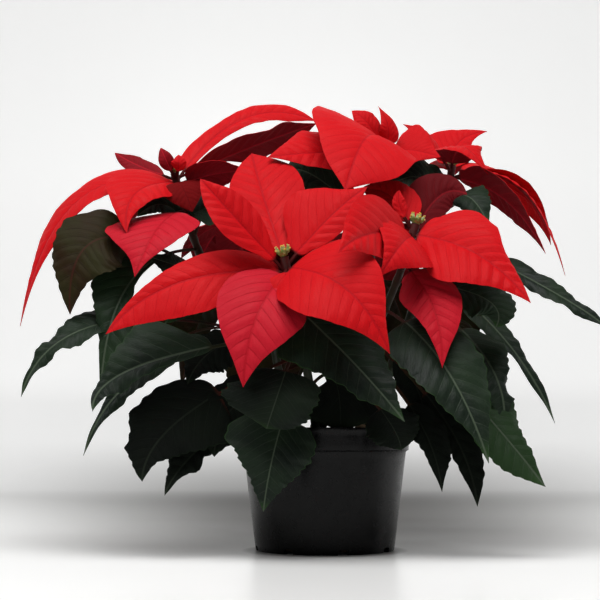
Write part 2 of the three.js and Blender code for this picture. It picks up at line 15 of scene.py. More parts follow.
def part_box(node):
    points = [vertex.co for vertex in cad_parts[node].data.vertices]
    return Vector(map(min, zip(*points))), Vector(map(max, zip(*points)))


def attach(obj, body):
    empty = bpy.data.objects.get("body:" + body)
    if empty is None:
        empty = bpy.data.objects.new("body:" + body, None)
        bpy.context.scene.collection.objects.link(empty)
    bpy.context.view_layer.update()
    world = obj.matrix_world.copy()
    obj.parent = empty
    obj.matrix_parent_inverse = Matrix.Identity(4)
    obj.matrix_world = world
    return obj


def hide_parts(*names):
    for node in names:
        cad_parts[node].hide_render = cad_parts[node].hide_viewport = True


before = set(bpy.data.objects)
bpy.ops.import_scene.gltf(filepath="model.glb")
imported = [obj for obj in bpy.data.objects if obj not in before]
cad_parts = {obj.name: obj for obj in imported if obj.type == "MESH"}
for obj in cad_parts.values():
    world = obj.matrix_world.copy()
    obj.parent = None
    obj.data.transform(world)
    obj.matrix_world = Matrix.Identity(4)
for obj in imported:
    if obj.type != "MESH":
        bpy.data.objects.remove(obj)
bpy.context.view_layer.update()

bl_info = {
    "name": "Potted poinsettia",
    "version": (1, 0, 0),
    "blender": (4, 5, 0),
    "location": "View3D > Sidebar > Poinsettia",
    "description": "Finishes a potted poinsettia: pot, peat, leafy stems, bract heads and flower cups",
    "category": "Add Mesh",
}

MM = 0.001
SEED = 24

# ---- the solids' own dimensions, in millimetres --------------------------------------------------

GAP = 0.3
POT_LOW, POT_HIGH = (np.array(corner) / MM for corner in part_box("pot"))
POT_HEIGHT = float(POT_HIGH[2])
RIM_RADIUS = float(POT_HIGH[0] - POT_LOW[0]) / 2
FOOT_RADIUS = 66
WALL_RADIUS = 78
BAND = 21
BAND_TAPER = 1.5
WALL = 2
FLOOR = 2.5
DRAINS = 8
DRAIN_TURN = 0.3
DRAIN_HALF_WIDTH = 5
DRAIN_SPRING = 2.6  # height at which a notch's top corners start to round
DRAIN_ROUND = 2.4
MOULDED_EDGE = 32  # degrees past which a fold of the pot is sharp
SOIL_LEVEL = 98
SOIL_SHOULDER = 54
SOIL_EDGE_DROP = 6
SOIL_MOUND = 5
PEAT_CHIPS = 70

TRUNK_RADIUS = 6.5
TRUNK_BOTTOM = 52
TRUNK_FORK = 118
STEM_LOW = 4.6
STEM_HIGH = 3.4
STEM_SIDES = 16
JOINT_SWELL = 0.7
JOINT_LENGTH = 2.6
SPUR = 44  # the red top length of each stem, which carries the bracts
SPUR_FLARE = 0.8
STALK_HALF_WIDTH = 1.4
STALK_THICKNESS = 2.4
THIN_BY = 0.15  # share of a blade by which its stalk has thinned out
LONGEST_STALK = 0.45
LOBE_SPAN = 0.12  # share of a blade from a lobe's peak to its end
LEFT_EDGE_OFFSET = 2  # radians by which the waves of the left edge run ahead
# Shares of a blade at which its half widths are given.
OUTLINE = [0, 0.08, 0.24, 0.42, 0.62, 0.82, 1]

CUPS = 6
CUP_RING = 4.4
CUP_LEAN = 0.264  # radians
TUFTS = 10  # of the fringe round a cup's mouth
STAMENS = 5
SEAT_HEIGHT = 4
SEAT_FOOT = 2.6
SEAT_TOP = 6.2
CUP_SUNK = 1

SIDE_VEINS = 9
VEIN_SPACING = (5.5, 14)
VEIN_SLANT = 0.75  # how far a side vein runs ahead for each step out from the midrib
VEIN_BEND = 0.3
LEFT_VEINS_AHEAD = 0.4  # of a spacing
STALK_RINGS = 7
TIP_CROWDING = 0.045  # rings crowd towards a blade's foot and tip by this share
MIDRIB_CROWDING = 1.2  # power by which a blade's strips narrow towards its midrib
GROOVE_DEPTH = 0.55
GROOVE_WIDTH = 1.5
RIB_WIDTH = 1.3
LEAF_EDGE = {"tooth": 2.3, "ruffle": 0.9, "wander": 0.035}
BRACT_EDGE = {"tooth": 0.3, "ruffle": 0.3, "wander": 0}

BRACT = {
    "stalk": 12, "fold": 0.1, "curl": 0.16, "wave": 0.8, "waves": 2, "rise": 0.6, "fall": 0.95,
}
LEAF = {
    "stalk": 46, "fold": 0.14, "curl": 0.14, "wave": 2.2, "waves": 2.5, "rise": 0.55, "fall": 0.95,
}

FEET = {
    "front": ([-8, -30], "ab"),
    "left": ([-36, 16], "cf"),
    "right": ([36, 16], "deg"),
}

# Each stem passes a point half way along on its way to its head's top.
STEMS = {
    "a": ([-22, -92, 190], [-38, -120, 264]),
    "b": ([48, -72, 210], [82, -80, 300]),
    "c": ([-108, 8, 250], [-147, -8, 364]),
    "d": ([46, 16, 276], [61, 14, 399]),
    "e": ([100, 36, 264], [133, 52, 385]),
    "f": ([-58, 68, 240], [-86, 104, 352]),
    "g": ([42, 76, 230], [58, 122, 346]),
}


# ---- curves --------------------------------------------------------------------------------------


def unit(vectors):
    vectors = np.asarray(vectors, float)
    return vectors / np.linalg.norm(vectors, axis=-1, keepdims=True)


class Bow:
    """A quadratic curve from start through a point half way to end."""

    def __init__(self, start, via, end):
        self.start, self.end = np.array(start, float), np.array(end, float)
        self.middle = 2 * np.array(via, float) - (self.start + self.end) / 2
        self.steps = np.linspace(0, 1, 201)
        legs = np.linalg.norm(np.diff(self.point(self.steps), axis=0), axis=1)
        self.run = np.concatenate([[0], np.cumsum(legs)])
        self.length = self.run[-1]

    def point(self, t):
        t = np.asarray(t, float)[..., None]
        return (1 - t) ** 2 * self.start + 2 * t * (1 - t) * self.middle + t * t * self.end

    def ahead(self, t):
        t = np.asarray(t, float)[..., None]
        return unit(2 * (1 - t) * (self.middle - self.start) + 2 * t * (self.end - self.middle))

    def at(self, share):
        """The curve's own parameter at a share of its length."""
        return np.interp(np.asarray(share, float) * self.length, self.run, self.steps)


def circle(sides):
    """The angles of points spaced evenly round a circle."""
    return np.linspace(0, 2 * math.pi, sides, endpoint=False)


def ring(angle, radius, z, centre=(0, 0)):
    """Points round an upright axis."""
    x, y = centre[0] + radius * np.cos(angle), centre[1] + radius * np.sin(angle)
    return np.stack([x, y, np.broadcast_to(z, angle.shape)], -1)


def ease(low, high, value):
    t = np.clip((value - low) / (high - low), 0, 1)
    return t * t * (3 - 2 * t)


def stem_curve(head):
    foot = next(foot for foot, heads in FEET.values() if head in heads)
    via, top = STEMS[head]
    return Bow([foot[0], foot[1], TRUNK_FORK - 8], via, top)


# ---- blade rows ----------------------------------------------------------------------------------


def bract(down, via, tip, width, face, **form):
    return {"down": down, "via": via, "tip": tip, "width": width, "face": face, **BRACT, **form}


def leaf(stem, share, via, tip, width, face, **form):
    seat = {"stem": stem, "share": share}
    return {**seat, "via": via, "tip": tip, "width": width, "face": face, **LEAF, **form}


def away(start, down, angle, reach, drop):
    turn = math.radians(angle)
    out = np.array([math.cos(turn), math.sin(turn), 0])
    via = start + 0.6 * reach * out - [0, 0, down + 0.2 * drop]
    tip = start + reach * out - [0, 0, down + drop]
    return via, tip, [0.6 * out[0], 0.6 * out[1], 1]


def spread(head, down, angle, reach, drop, width):
    """A bract that lies out from its head's top: a compass angle from +X, its reach and its drop."""
    via, tip, face = away(np.array(STEMS[head][1], float), down, angle, reach, drop)
    return bract(down, via, tip, width, face)


def hanging(stem, share, angle, reach, drop, width):
    """A leaf that hangs out from its stem, likewise."""
    curve = stem_curve(stem)
    via, tip, face = away(curve.point(curve.at(share)), 0, angle, reach, drop)
    return leaf(stem, share, via, tip, width, face)


# A bract: mm below the stem's top, a point half way along it, its tip, its width, and the way its
# upper side looks. A large one gives its half widths, left and right of the midrib, at OUTLINE.
# Its tone is above 0 on a bract painted pinker and darker as shade, or on a greener leaf, and below 0 on
# one deep in the plant, darkened as painted shade; some of those are filler blades that stand in for the
# shade between the others.
# Its lobes are the side of the midrib, the share of the way along, and how far they stand out.
BRACTS = {
    "a": [
        bract(9, [-57, -78, 325], [-70, -40, 376], [[10, 24, 30, 29, 17], [16, 32, 39, 40, 30]],
             [0, -1, 0.5]),
        bract(16, [-83, -129, 300], [-112, -125, 333], [[8, 18, 22, 16, 8], [8, 17, 20, 15, 7]],
             [-0.3, -1, 0.9], fold=0.3),
        bract(14, [-128, -130, 240], [-189, -150, 193], [[12, 27, 35, 30, 17], [16, 25, 22, 13, 6]],
             [0, -1, 0.45], stalk=5),
        bract(16, [-60, -158, 208], [-71, -170, 147], [[22, 35, 39, 30, 13], [24, 37, 38, 28, 12]],
             [0, -1, 0.3], stalk=5, tone=0.9),
        bract(11, [14, -176, 229], [50, -184, 174], [[44, 44, 42, 28, 10], [32, 42, 43, 32, 14]],
             [0.2, -1, 0.3], stalk=5),
        bract(9, [2, -114, 300], [37, -105, 330], [[18, 40, 46, 33, 10], [8, 16, 18, 12, 7]],
             [0.2, -1, 0.9]),
        bract(12, [-35, -135, 241], [-23, -138, 218], 36, [0, -1, 0.3]),
        bract(12, [-94, -84, 270], [-134, -58, 258], 50, [-0.2, 0, 1]),
        # A broad bract darkened as painted shade, hung behind the head's middle to fill it with shade.
        bract(30, [-37, -84, 272], [-36, -76, 296], 80, [0, -1, 0.3], tone=-0.9),
    ],
    "b": [
        bract(10, [38, -150, 280], [8, -190, 257], [[12, 22, 24, 16, 7], [20, 34, 34, 22, 8]],
             [0.1, -1, 0], tone=0.25),
        bract(13, [64, -138, 272], [44, -150, 242], [[26, 33, 31, 22, 9], [46, 42, 28, 14, 5]],
             [0.4, -0.8, 0.4], stalk=5),
        bract(11, [132, -114, 268], [175, -140, 221], [[26, 46, 37, 20, 9], [16, 36, 42, 33, 14]],
             [0.3, -1, 0.3], stalk=5, lobes=[[-1, 0.45, 4]], quilt=1.9),
        bract(38, [93, -122, 219], [98, -140, 165], [[14, 25, 27, 19, 7], [14, 24, 20, 13, 6]],
             [0, -1, 0.2], stalk=13, tone=0.9),
        bract(7, [68, -84, 315], [68, -80, 332], 13, [0, -1, 0.2]),
        bract(20, [107, -44, 332], [134, -50, 334], [[6, 24, 28, 22, 10], [8, 14, 16, 14, 8]],
             [0, -1, 0.2], turned=True, tone=-0.7),
        bract(10, [64, -60, 328], [34, -44, 341], 46, [0, -1, 0.6]),
    ],
    "c": [
        bract(13, [-238, -28, 332], [-287, -40, 210], [[14, 22, 24, 18, 7], [20, 33, 29, 20, 7]],
             [-0.6, -0.7, 0.7]),
        bract(10, [-177, -62, 333], [-181, -90, 290], [[16, 24, 22, 15, 6], [34, 38, 35, 20, 8]],
             [0, -1, 0.7], stalk=5),
        bract(7, [-183, 5, 374], [-210, 20, 391], 22, [0, -1, 0.6], turned=True),
        bract(7, [-152, -26, 370], [-159, -22, 386], 15, [0, -1, 0], turned=True),
        bract(7, [-141, -28, 367], [-142, -22, 379], 15, [0, -1, 0]),
        bract(14, [-137, -34, 346], [-126, -42, 319], 46, [0.1, -1, 0.4], tone=-0.85),
        bract(9, [-82, 32, 429], [-7, 60, 434], [[14, 14, 13, 18, 16], [6, 9, 11, 15, 13]],
             [0, -0.8, 0.7]),
        bract(6, [-75, 18, 396], [-7, 38, 426], [[6, 8, 18, 26, 26], [10, 26, 20, 21, 13]], [0, 0.5, 1],
             wave=3, waves=3),
        bract(12, [-111, -20, 360], [-76, -20, 364], 46, [0.2, 0.4, 1]),
        bract(38, [-154, -82, 296], [-170, -114, 247], [[16, 34, 31, 19, 7], [30, 48, 51, 35, 12]],
             [-0.2, -1, 0.3], stalk=24, tone=0.9),
        bract(15, [-180, 50, 366], [-206, 92, 330], 54, [-0.3, 0.4, 1]),
    ],
    "d": [
        bract(5, [39, -54, 388], [17, -100, 328], [[26, 44, 50, 50, 40], [62, 68, 58, 42, 26]],
             [0.2, -1, 0.7], stalk=5),
        bract(7, [-3, -32, 379], [-54, -55, 369], [[14, 28, 30, 20, 8], [14, 36, 43, 28, 14]],
             [0, -1, 0.8]),
        bract(8, [45, 2, 415], [28, 8, 431], 24, [0, -1, 0.4]),
        bract(8, [64, -2, 409], [54, 2, 434], 20, [0, -1, 0.3], rise=0.3, fall=1.2),
        bract(6, [87, 0, 389], [114, -12, 379], [[22, 34, 28, 18, 7], [14, 22, 20, 12, 6]],
             [0.2, -1, 0.3]),
        bract(9, [24, 50, 402], [-14, 84, 390], 56, [0, 0.3, 1]),
        bract(12, [66, 62, 396], [62, 110, 374], 60, [0, 0.4, 1]),
    ],
    "e": [
        bract(6, [139, 16, 396], [162, -2, 364], [[18, 26, 25, 17, 7], [18, 28, 27, 17, 7]],
             [0.1, -0.5, 1], stalk=8),
        bract(7, [105, 34, 407], [81, 30, 423], [[7, 10, 10, 8, 4], [9, 16, 18, 14, 6]],
             [0.2, -0.7, 0.7]),
        bract(10, [143, 84, 416], [177, 98, 433], [[14, 30, 32, 19, 7], [6, 14, 16, 11, 5]],
             [0, -1, 0.7]),
        bract(14, [198, 36, 358], [240, 20, 266], [[42, 40, 20, 10, 5], [5, 13, 20, 17, 8]],
             [0.8, -0.35, 0.6], fold=0.3),
        bract(13, [178, 10, 343], [214, -15, 283], [[8, 18, 22, 18, 8], [14, 28, 30, 20, 8]],
             [0.7, 0.3, 0.7]),
        bract(10, [140, 104, 404], [148, 146, 396], 48, [0, 0.5, 1]),
        bract(14, [189, 96, 373], [221, 122, 334], 46, [0.5, 0.3, 1]),
        bract(13, [197, 44, 358], [229, 32, 299], [[10, 18, 20, 15, 7], [8, 16, 20, 16, 8]],
             [0.6, 0.5, 0.6], turned=True),
    ],
    "f": [
        spread("f", 9, 100, 58, 6, 34),
        spread("f", 9, 10, 50, 6, 30),
        spread("f", 10, 215, 52, 10, 30),
        spread("f", 12, 55, 92, 34, 54),
        spread("f", 13, 122, 100, 40, 58),
        spread("f", 15, 92, 116, 76, 60),
        spread("f", 16, 158, 72, 36, 44),
    ],
    "g": [
        spread("g", 9, 70, 60, 6, 34),
        spread("g", 9, 160, 50, 6, 30),
        spread("g", 10, 340, 52, 8, 30),
        spread("g", 12, 25, 98, 42, 56),
        spread("g", 13, 115, 96, 40, 58),
        spread("g", 15, 70, 118, 78, 62),
        spread("g", 16, 345, 84, 56, 46),
    ],
}

# A leaf: its stem, the share of the way up the stem, then as a bract.
LEAVES = {
    "front": [
        leaf("a", 0.45, [-42, -120, 110], [-55, -130, 43], [[28, 34, 29, 21, 9], [34, 44, 34, 20, 9]],
             [0, -1, 0.3], stalk=60, tone=-0.2, lobes=[[-1, 0.4, 5], [1, 0.36, 6]]),
        leaf("a", 0.62, [-40, -142, 150], [-52, -146, 113], [[28, 35, 34, 31, 22], [26, 34, 44, 46, 32]],
             [0, -1, 0.5], stalk=40, tone=-0.6, lobes=[[1, 0.8, 4]]),
        leaf("a", 0.5, [-127, -100, 124], [-160, -120, 68], [[38, 40, 32, 20, 8], [22, 38, 37, 25, 12]],
             [-0.2, -1, 0.3], stalk=60, tone=-1.0, lobes=[[1, 0.52, 8], [1, 0.72, 6]]),
        leaf("a", 0.42, [-106, -92, 103], [-141, -115, 56], [[16, 14, 10, 7, 4], [24, 34, 24, 12, 4]],
             [-0.2, -1, 0.3], stalk=60, tone=-0.8, lobes=[[-1, 0.5, 8]]),
        leaf("a", 0.6, [-161, -112, 170], [-202, -132, 128], [[6, 8, 13, 15, 8], [16, 40, 28, 10, 4]],
             [-0.2, -1, 0.3], stalk=50),
        leaf("a", 0.75, [21, -135, 171], [64, -155, 119], [[32, 35, 33, 24, 10], [44, 40, 30, 22, 10]],
             [0.1, -1, 0.6], stalk=15),
        leaf("b", 0.3, [53, -108, 122], [64, -118, 95], 48, [0.1, -1, 0.3], stalk=40, tone=-0.7),
        leaf("b", 0.62, [100, -128, 169], [135, -150, 84], [[24, 32, 36, 28, 12], [32, 34, 32, 22, 8]],
             [0.2, -1, 0.3], stalk=30),
        leaf("b", 0.42, [81, -102, 121], [99, -118, 59], [[12, 18, 18, 15, 5], [8, 12, 11, 7, 4]],
             [0.1, -1, 0.3], stalk=60, tone=-0.95),
        leaf("b", 0.48, [106, -92, 120], [131, -106, 46], [[8, 16, 18, 16, 8], [8, 12, 12, 9, 5]],
             [0.1, -1, 0.3], stalk=60, tone=-0.9),
        leaf("b", 0.75, [140, -86, 233], [152, -94, 204], 52, [0.2, -1, 0.6], stalk=30),
        leaf("a", 0.68, [-95, -78, 190], [-124, -95, 153], [[16, 24, 26, 20, 10], [8, 16, 20, 18, 8]],
             [0, -1, 0.6], stalk=36, tone=-0.95),
        leaf("a", 0.3, [7, -66, 160], [13, -76, 111], [[24, 40, 44, 46, 50], [24, 40, 44, 46, 44]],
             [0, -1, 0.4], stalk=20, tone=-0.95),
        leaf("b", 0.5, [76, -78, 163], [89, -90, 113], 32, [0, -1, 0.4], stalk=30, tone=-0.9),
        leaf("a", 0.45, [-79, -98, 137], [-99, -104, 89], 50, [-0.1, -1, 0.3], stalk=30, tone=-0.9),
    ],
    "left": [
        leaf("c", 0.62, [-207, -65, 290], [-233, -79, 217], [[12, 32, 40, 38, 16], [16, 34, 36, 28, 13]],
             [-0.2, -1, 0.3], stalk=60, turned=True, tone=-0.3),
        leaf("c", 0.72, [-183, -62, 246], [-203, -84, 139], [[3, 4, 10, 22, 18], [14, 36, 32, 13, 4]],
             [0, -1, 0.3], stalk=50, tone=0.3),
        leaf("c", 0.42, [-214, -74, 207], [-272, -95, 142], [[10, 14, 15, 10, 5], [18, 22, 14, 9, 5]],
             [-0.3, -1, 0.6], stalk=80, wave=3, waves=3.5),
        leaf("c", 0.32, [-168, -72, 163], [-216, -92, 90], [[6, 11, 12, 9, 4], [6, 9, 8, 5, 2]],
             [-0.3, -1, 0.3], stalk=70),
        leaf("c", 0.76, [-112, -7, 332], [-99, -14, 309], 60, [0.2, -0.8, 0.8], stalk=12),
        leaf("c", 0.7, [-151, -2, 331], [-182, -12, 320], 50, [0, -0.7, 0.7], stalk=16),
        leaf("c", 0.55, [-120, -30, 246], [-150, -48, 212], 64, [0, -1, 0.7], stalk=16),
        hanging("c", 0.42, 165, 92, 50, 56),
        hanging("c", 0.55, 130, 112, 76, 60),
        hanging("f", 0.44, 146, 108, 46, 56),
        hanging("f", 0.48, 105, 124, 90, 62),
        hanging("f", 0.62, 76, 112, 110, 60),
        hanging("f", 0.72, 140, 112, 120, 62),
        leaf("c", 0.66, [-134, -40, 267], [-165, -50, 275], 24, [-0.1, -1, 0.4]),
    ],
    "right": [
        leaf("e", 0.5, [146, -70, 178], [158, -85, 109], [[14, 24, 15, 5, 3], [10, 18, 20, 15, 7]],
             [0.2, -1, 0.2], stalk=60, lobes=[[-1, 0.7, 7]]),
        leaf("e", 0.38, [131, -80, 141], [191, -105, 63], [[14, 30, 32, 18, 9], [12, 18, 22, 27, 18]],
             [0.3, -1, 0.3], stalk=70, tone=0.6),
        leaf("e", 0.6, [166, -36, 202], [212, -50, 119], [[16, 12, 9, 7, 4], [14, 12, 8, 5, 3]],
             [0.3, -1, 0.4], stalk=60),
        leaf("e", 0.75, [212, -22, 249], [266, -40, 208], [[14, 13, 10, 7, 4], [8, 11, 11, 9, 5]],
             [0, -1, 0.7], stalk=50),
        leaf("e", 0.8, [100, 16, 363], [61, -2, 350], 52, [0, -1, 0.5], stalk=14),
        leaf("e", 0.78, [134, -14, 341], [156, -36, 308], 52, [0.2, -1, 0.5], stalk=16),
        leaf("d", 0.7, [-6, 6, 362], [-36, -8, 364], 44, [0, -1, 0.5], stalk=14),
        hanging("e", 0.45, 20, 100, 100, 54),
        hanging("e", 0.58, 60, 112, 110, 58),
        hanging("g", 0.36, 40, 118, 74, 58),
        hanging("g", 0.46, 85, 124, 90, 62),
        hanging("g", 0.62, 98, 112, 110, 60),
        hanging("g", 0.72, 58, 112, 120, 60),
    ],
}


# ---- sizes and colours that a user would change --------------------------------------------------


def colour(name, description, default):
    return bpy.props.FloatVectorProperty(
        name=name, description=description, default=default, subtype="COLOR", size=3, min=0, max=1
    )


def length(name, description, default, low, high):
    return bpy.props.FloatProperty(
        name=name, description=description, default=default, min=low, max=high, unit="LENGTH",
        subtype="DISTANCE", precision=5,
    )


def count(name, description, default, low, high):
    return bpy.props.IntProperty(name=name, description=description, default=default, min=low, max=high)


def amount(name, description, default, low=0, high=1):
    return bpy.props.FloatProperty(
        name=name, description=description, default=default, min=low, max=high, subtype="FACTOR"
    )


def watts(name, description, default):
    return bpy.props.FloatProperty(
        name=name, description=description, default=default, min=0, unit="POWER"
    )


class PotSettings(bpy.types.PropertyGroup):
    height: length("Height", "From the foot to the rim", POT_HEIGHT * MM, 0.05, 0.3)
    rim_radius: length("Rim radius", "Outside radius at the rim", RIM_RADIUS * MM, 0.03, 0.2)
    round_edge: length("Rounding", "Radius of the rim's moulded edges", 0.0009, 0.0002, 0.003)
    sides: count("Sides", "Facets round the pot", 144, 32, 256)
    plastic: colour("Plastic", "Colour of the moulded plastic", (0.0030, 0.0030, 0.0032))


class PeatSettings(bpy.types.PropertyGroup):
    relief: length("Relief", "Height of the crumbs in the surface", 0.0024, 0, 0.006)
    perlite: count("Perlite grains", "White grains on the surface", 90, 0, 400)
    fibre: colour("Peat", "Colour of the dry peat", (0.045, 0.026, 0.015))
    grain: colour("Perlite", "Colour of the white grains", (0.62, 0.6, 0.55))


class BladeSettings(bpy.types.PropertyGroup):
    stations: count("Stations", "Rings along a blade", 60, 12, 96)
    strips: count("Strips", "Strips across a blade, an even number", 22, 6, 48)
    thickness: length("Thickness", "Thickness of a blade between its veins", 0.00055, 0.0002, 0.002)
    rib: length("Midrib", "How far the midrib stands out under a blade", 0.0011, 0, 0.004)
    quilting: amount("Quilting", "Rise between two side veins, as a share of their spacing", 0.11)
    bract: colour("Bract", "Upper side of a bract", (0.525, 0.0046, 0.0074))
    bract_vein: colour("Bract vein", "Veins in a bract's upper side", (0.30, 0.002, 0.008))
    # Painted shade: the lower bracts' upper side is given a pinker, darker red.
    bract_shade_pink: colour("Shaded bract", "Upper side of the lower, pinker bracts", (0.47, 0.010, 0.022))
    # The under side's own duller red, darkened further as painted shade.
    bract_under_shade: colour("Bract underside", "Under side of a bract", (0.19, 0.0045, 0.009))
    leaf: colour("Leaf", "Upper side of a leaf", (0.0082, 0.0130, 0.0094))
    leaf_vein: colour("Leaf vein", "Veins in a leaf's upper side", (0.060, 0.080, 0.052))
    leaf_young: colour("Leaf tip", "Young green at a leaf's tip and edge", (0.026, 0.068, 0.016))
    leaf_under: colour("Leaf underside", "Under side of a leaf", (0.019, 0.0065, 0.0012))
    stem: colour("Stem", "Green stem", (0.014, 0.020, 0.008))
    stem_red: colour("Red stem", "Flushed upper stem and stalks", (0.060, 0.006, 0.006))
    wood: colour("Trunk", "Corky bark of the trunk", (0.13, 0.095, 0.05))


class CupSettings(bpy.types.PropertyGroup):
    radius: length("Radius", "Widest radius of a cup", 0.0018, 0.001, 0.005)
    height: length("Height", "Height of a cup", 0.0052, 0.002, 0.012)
    green: colour("Cup", "Green wall of a cup", (0.12, 0.22, 0.03))
    mouth: colour("Mouth", "Pale fringe at the mouth", (0.62, 0.62, 0.26))
    nectar: colour("Nectar gland", "Yellow lip on the outer side", (0.70, 0.52, 0.05))
    stamen: colour("Stamen", "Red stalks in the mouth", (0.42, 0.03, 0.03))


class StudioSettings(bpy.types.PropertyGroup):
    lens: bpy.props.FloatProperty(
        name="Lens", description="Focal length in millimetres", default=74.16, min=20, max=300
    )
    tilt: bpy.props.FloatProperty(
        name="Tilt", description="How far the camera looks up", default=math.radians(6.6), subtype="ANGLE"
    )
    key: watts("Key light", "Watts of the light overhead", 40)
    fill: watts("Fill light", "Watts of the front light", 2.5)
    edge: watts("Edge light", "Watts of the right side light", 4)
    air: amount("Room light", "Brightness of the plain surroundings", 0.10, 0, 2)
    floor: colour("Floor", "Colour of the floor", (0.80, 0.80, 0.79))


SETTINGS = {
    "poinsettia_pot": PotSettings,
    "poinsettia_peat": PeatSettings,
    "poinsettia_blades": BladeSettings,
    "poinsettia_cups": CupSettings,
    "poinsettia_studio": StudioSettings,
}


# ---- meshes --------------------------------------------------------------------------------------


class Part:
    """A closed skin: points in millimetres, faces, and for each its finish, UVs and growth marks.

    The marks of a point are its share of the way along (below 0 on a stalk), its share of the way
    out to the edge, and its tone.
    """

    def __init__(self, points, corners, sizes, finish, uv=None, marks=None):
        self.points = np.asarray(points, float).reshape(-1, 3)
        self.corners = np.asarray(corners, int).ravel()
        self.sizes = np.asarray(sizes, int).ravel()
        self.finish = np.broadcast_to(np.asarray(finish, int), self.sizes.shape)
        self.uv = np.zeros((len(self.corners), 2)) if uv is None else np.asarray(uv, float).reshape(-1, 2)
        blank = np.zeros((len(self.points), 3))
        self.marks = blank if marks is None else np.asarray(marks, float).reshape(-1, 3)


def piece(name, parts, finishes, node, sharp=50):
    """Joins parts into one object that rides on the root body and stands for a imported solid."""
    counts = np.cumsum([0] + [len(part.points) for part in parts])
    corners = np.concatenate([part.corners + start for part, start in zip(parts, counts)])
    sizes = np.concatenate([part.sizes for part in parts])
    mesh = bpy.data.meshes.new(name)
    mesh.vertices.add(int(counts[-1]))
    mesh.vertices.foreach_set("co", np.concatenate([part.points for part in parts]).ravel() * MM)
    mesh.loops.add(len(corners))
    mesh.loops.foreach_set("vertex_index", corners)
    mesh.polygons.add(len(sizes))
    mesh.polygons.foreach_set("loop_start", np.cumsum(sizes) - sizes)
    for finish in finishes:
        mesh.materials.append(finish)
    mesh.polygons.foreach_set("material_index", np.concatenate([part.finish for part in parts]))
    mesh.polygons.foreach_set("use_smooth", np.ones(len(sizes), bool))
    mesh.update(calc_edges=True)
    layer = mesh.uv_layers.new(name="veins")
    layer.data.foreach_set("uv", np.concatenate([part.uv for part in parts]).ravel())
    marks = mesh.attributes.new("growth", "FLOAT_VECTOR", "POINT")
    marks.data.foreach_set("vector", np.concatenate([part.marks for part in parts]).ravel())
    mesh.set_sharp_from_angle(angle=math.radians(sharp))
    return place(name, mesh, node)


def place(name, mesh, node):
    made = bpy.data.objects.new(name, mesh)
    bpy.context.scene.collection.objects.link(made)
    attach(made, "root")
    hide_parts(node)
    return made


def rings_skin(rings, finish=0, marks=None, uv_scale=(1, 1)):
    """Rings of points, alike in count, joined into a closed skin with a flat cap at each end."""
    rings = np.asarray(rings, float)
    high, around = rings.shape[:2]
    level, side = np.meshgrid(np.arange(high - 1), np.arange(around), indexing="ij")
    after = (side + 1) % around
    low = level * around
    quads = np.stack([low + side, low + after, low + around + after, low + around + side], -1)
    quads = quads.reshape(-1, 4)
    caps = np.concatenate([np.arange(around)[::-1], (high - 1) * around + np.arange(around)])
    u = np.stack([side, side + 1, side + 1, side], -1) / around * uv_scale[0]
    v = np.stack([level, level, level + 1, level + 1], -1) / (high - 1) * uv_scale[1]
    uv = np.concatenate([np.stack([u, v], -1).reshape(-1, 2), np.zeros((2 * around, 2))])
    sizes = np.concatenate([np.full(len(quads), 4), [around, around]])
    return Part(rings, np.concatenate([quads.ravel(), caps]), sizes, finish, uv, marks)


def tube(curve, start, stop, radii, sides, finish, joints=()):
    """A round stem between two shares of a curve, swollen at its joints, its radii given evenly."""
    steps = max(3, int((stop - start) * curve.length / 3))
    shares = np.linspace(start, stop, steps + 1)
    centre, ahead = curve.point(curve.at(shares)), curve.ahead(curve.at(shares))
    across = unit(np.cross(unit([0.3, 1, 0.1]), ahead))
    over = np.cross(ahead, across)
    radius = np.interp(shares, np.linspace(start, stop, len(radii)), radii)
    for at in joints:
        radius += JOINT_SWELL * np.exp(-(((shares - at) * curve.length / JOINT_LENGTH) ** 2))
    angle = circle(sides)
    wobble = 1 + 0.03 * np.sin(3 * angle + 1) + 0.02 * np.sin(5 * angle)
    out = across[:, None] * np.cos(angle)[None, :, None] + over[:, None] * np.sin(angle)[None, :, None]
    rings = centre[:, None] + out * (radius[:, None] * wobble)[..., None]
    along = np.broadcast_to(shares[:, None], rings.shape[:2])
    marks = np.stack([along, np.zeros_like(along), np.zeros_like(along)], -1)
    return rings_skin(rings, finish, marks, (1, curve.length / 10))


# ---- blades --------------------------------------------------------------------------------------


def smooth_curve(at, values, along):
    """A smooth curve through (at, value) pairs: each slope is that between the neighbours."""
    at, values = np.asarray(at, float), np.asarray(values, float)
    number = np.arange(len(at))
    before, after = np.maximum(number - 1, 0), np.minimum(number + 1, len(at) - 1)
    slope = (values[after] - values[before]) / (at[after] - at[before])
    i = np.clip(np.searchsorted(at, along, side="right") - 1, 0, len(at) - 2)
    span = at[i + 1] - at[i]
    t = np.clip((along - at[i]) / span, 0, 1)
    t2, t3 = t * t, t * t * t
    return ((2 * t3 - 3 * t2 + 1) * values[i] + (t3 - 2 * t2 + t) * span * slope[i]
            + (3 * t2 - 2 * t3) * values[i + 1] + (t3 - t2) * span * slope[i + 1])


def half_width(row, along, side):
    width = row["width"]
    if isinstance(width, list):
        edge = width[0] if side < 0 else width[1]
        half = smooth_curve(OUTLINE, [STALK_HALF_WIDTH, *edge, 0], along)
        round_off = edge[0] * np.sqrt(np.maximum(0, 1 - (1 - np.minimum(1, along / OUTLINE[1])) ** 2))
        half = np.where(along < OUTLINE[1], np.maximum(half, round_off), half)
    else:
        rise, fall = row["rise"], row["fall"]
        peak = rise / (rise + fall)
        half = 0.5 * width * along**rise * (1 - along) ** fall / (peak**rise * (1 - peak) ** fall)
    for lobe_side, at, reach in row.get("lobes", []):
        if lobe_side == side:
            half = half + reach * np.maximum(0, 1 - np.abs(along - at) / LOBE_SPAN) ** 1.5
    return np.maximum(STALK_HALF_WIDTH * (1 - ease(0.02, 0.5, along)) + 0.2, half)


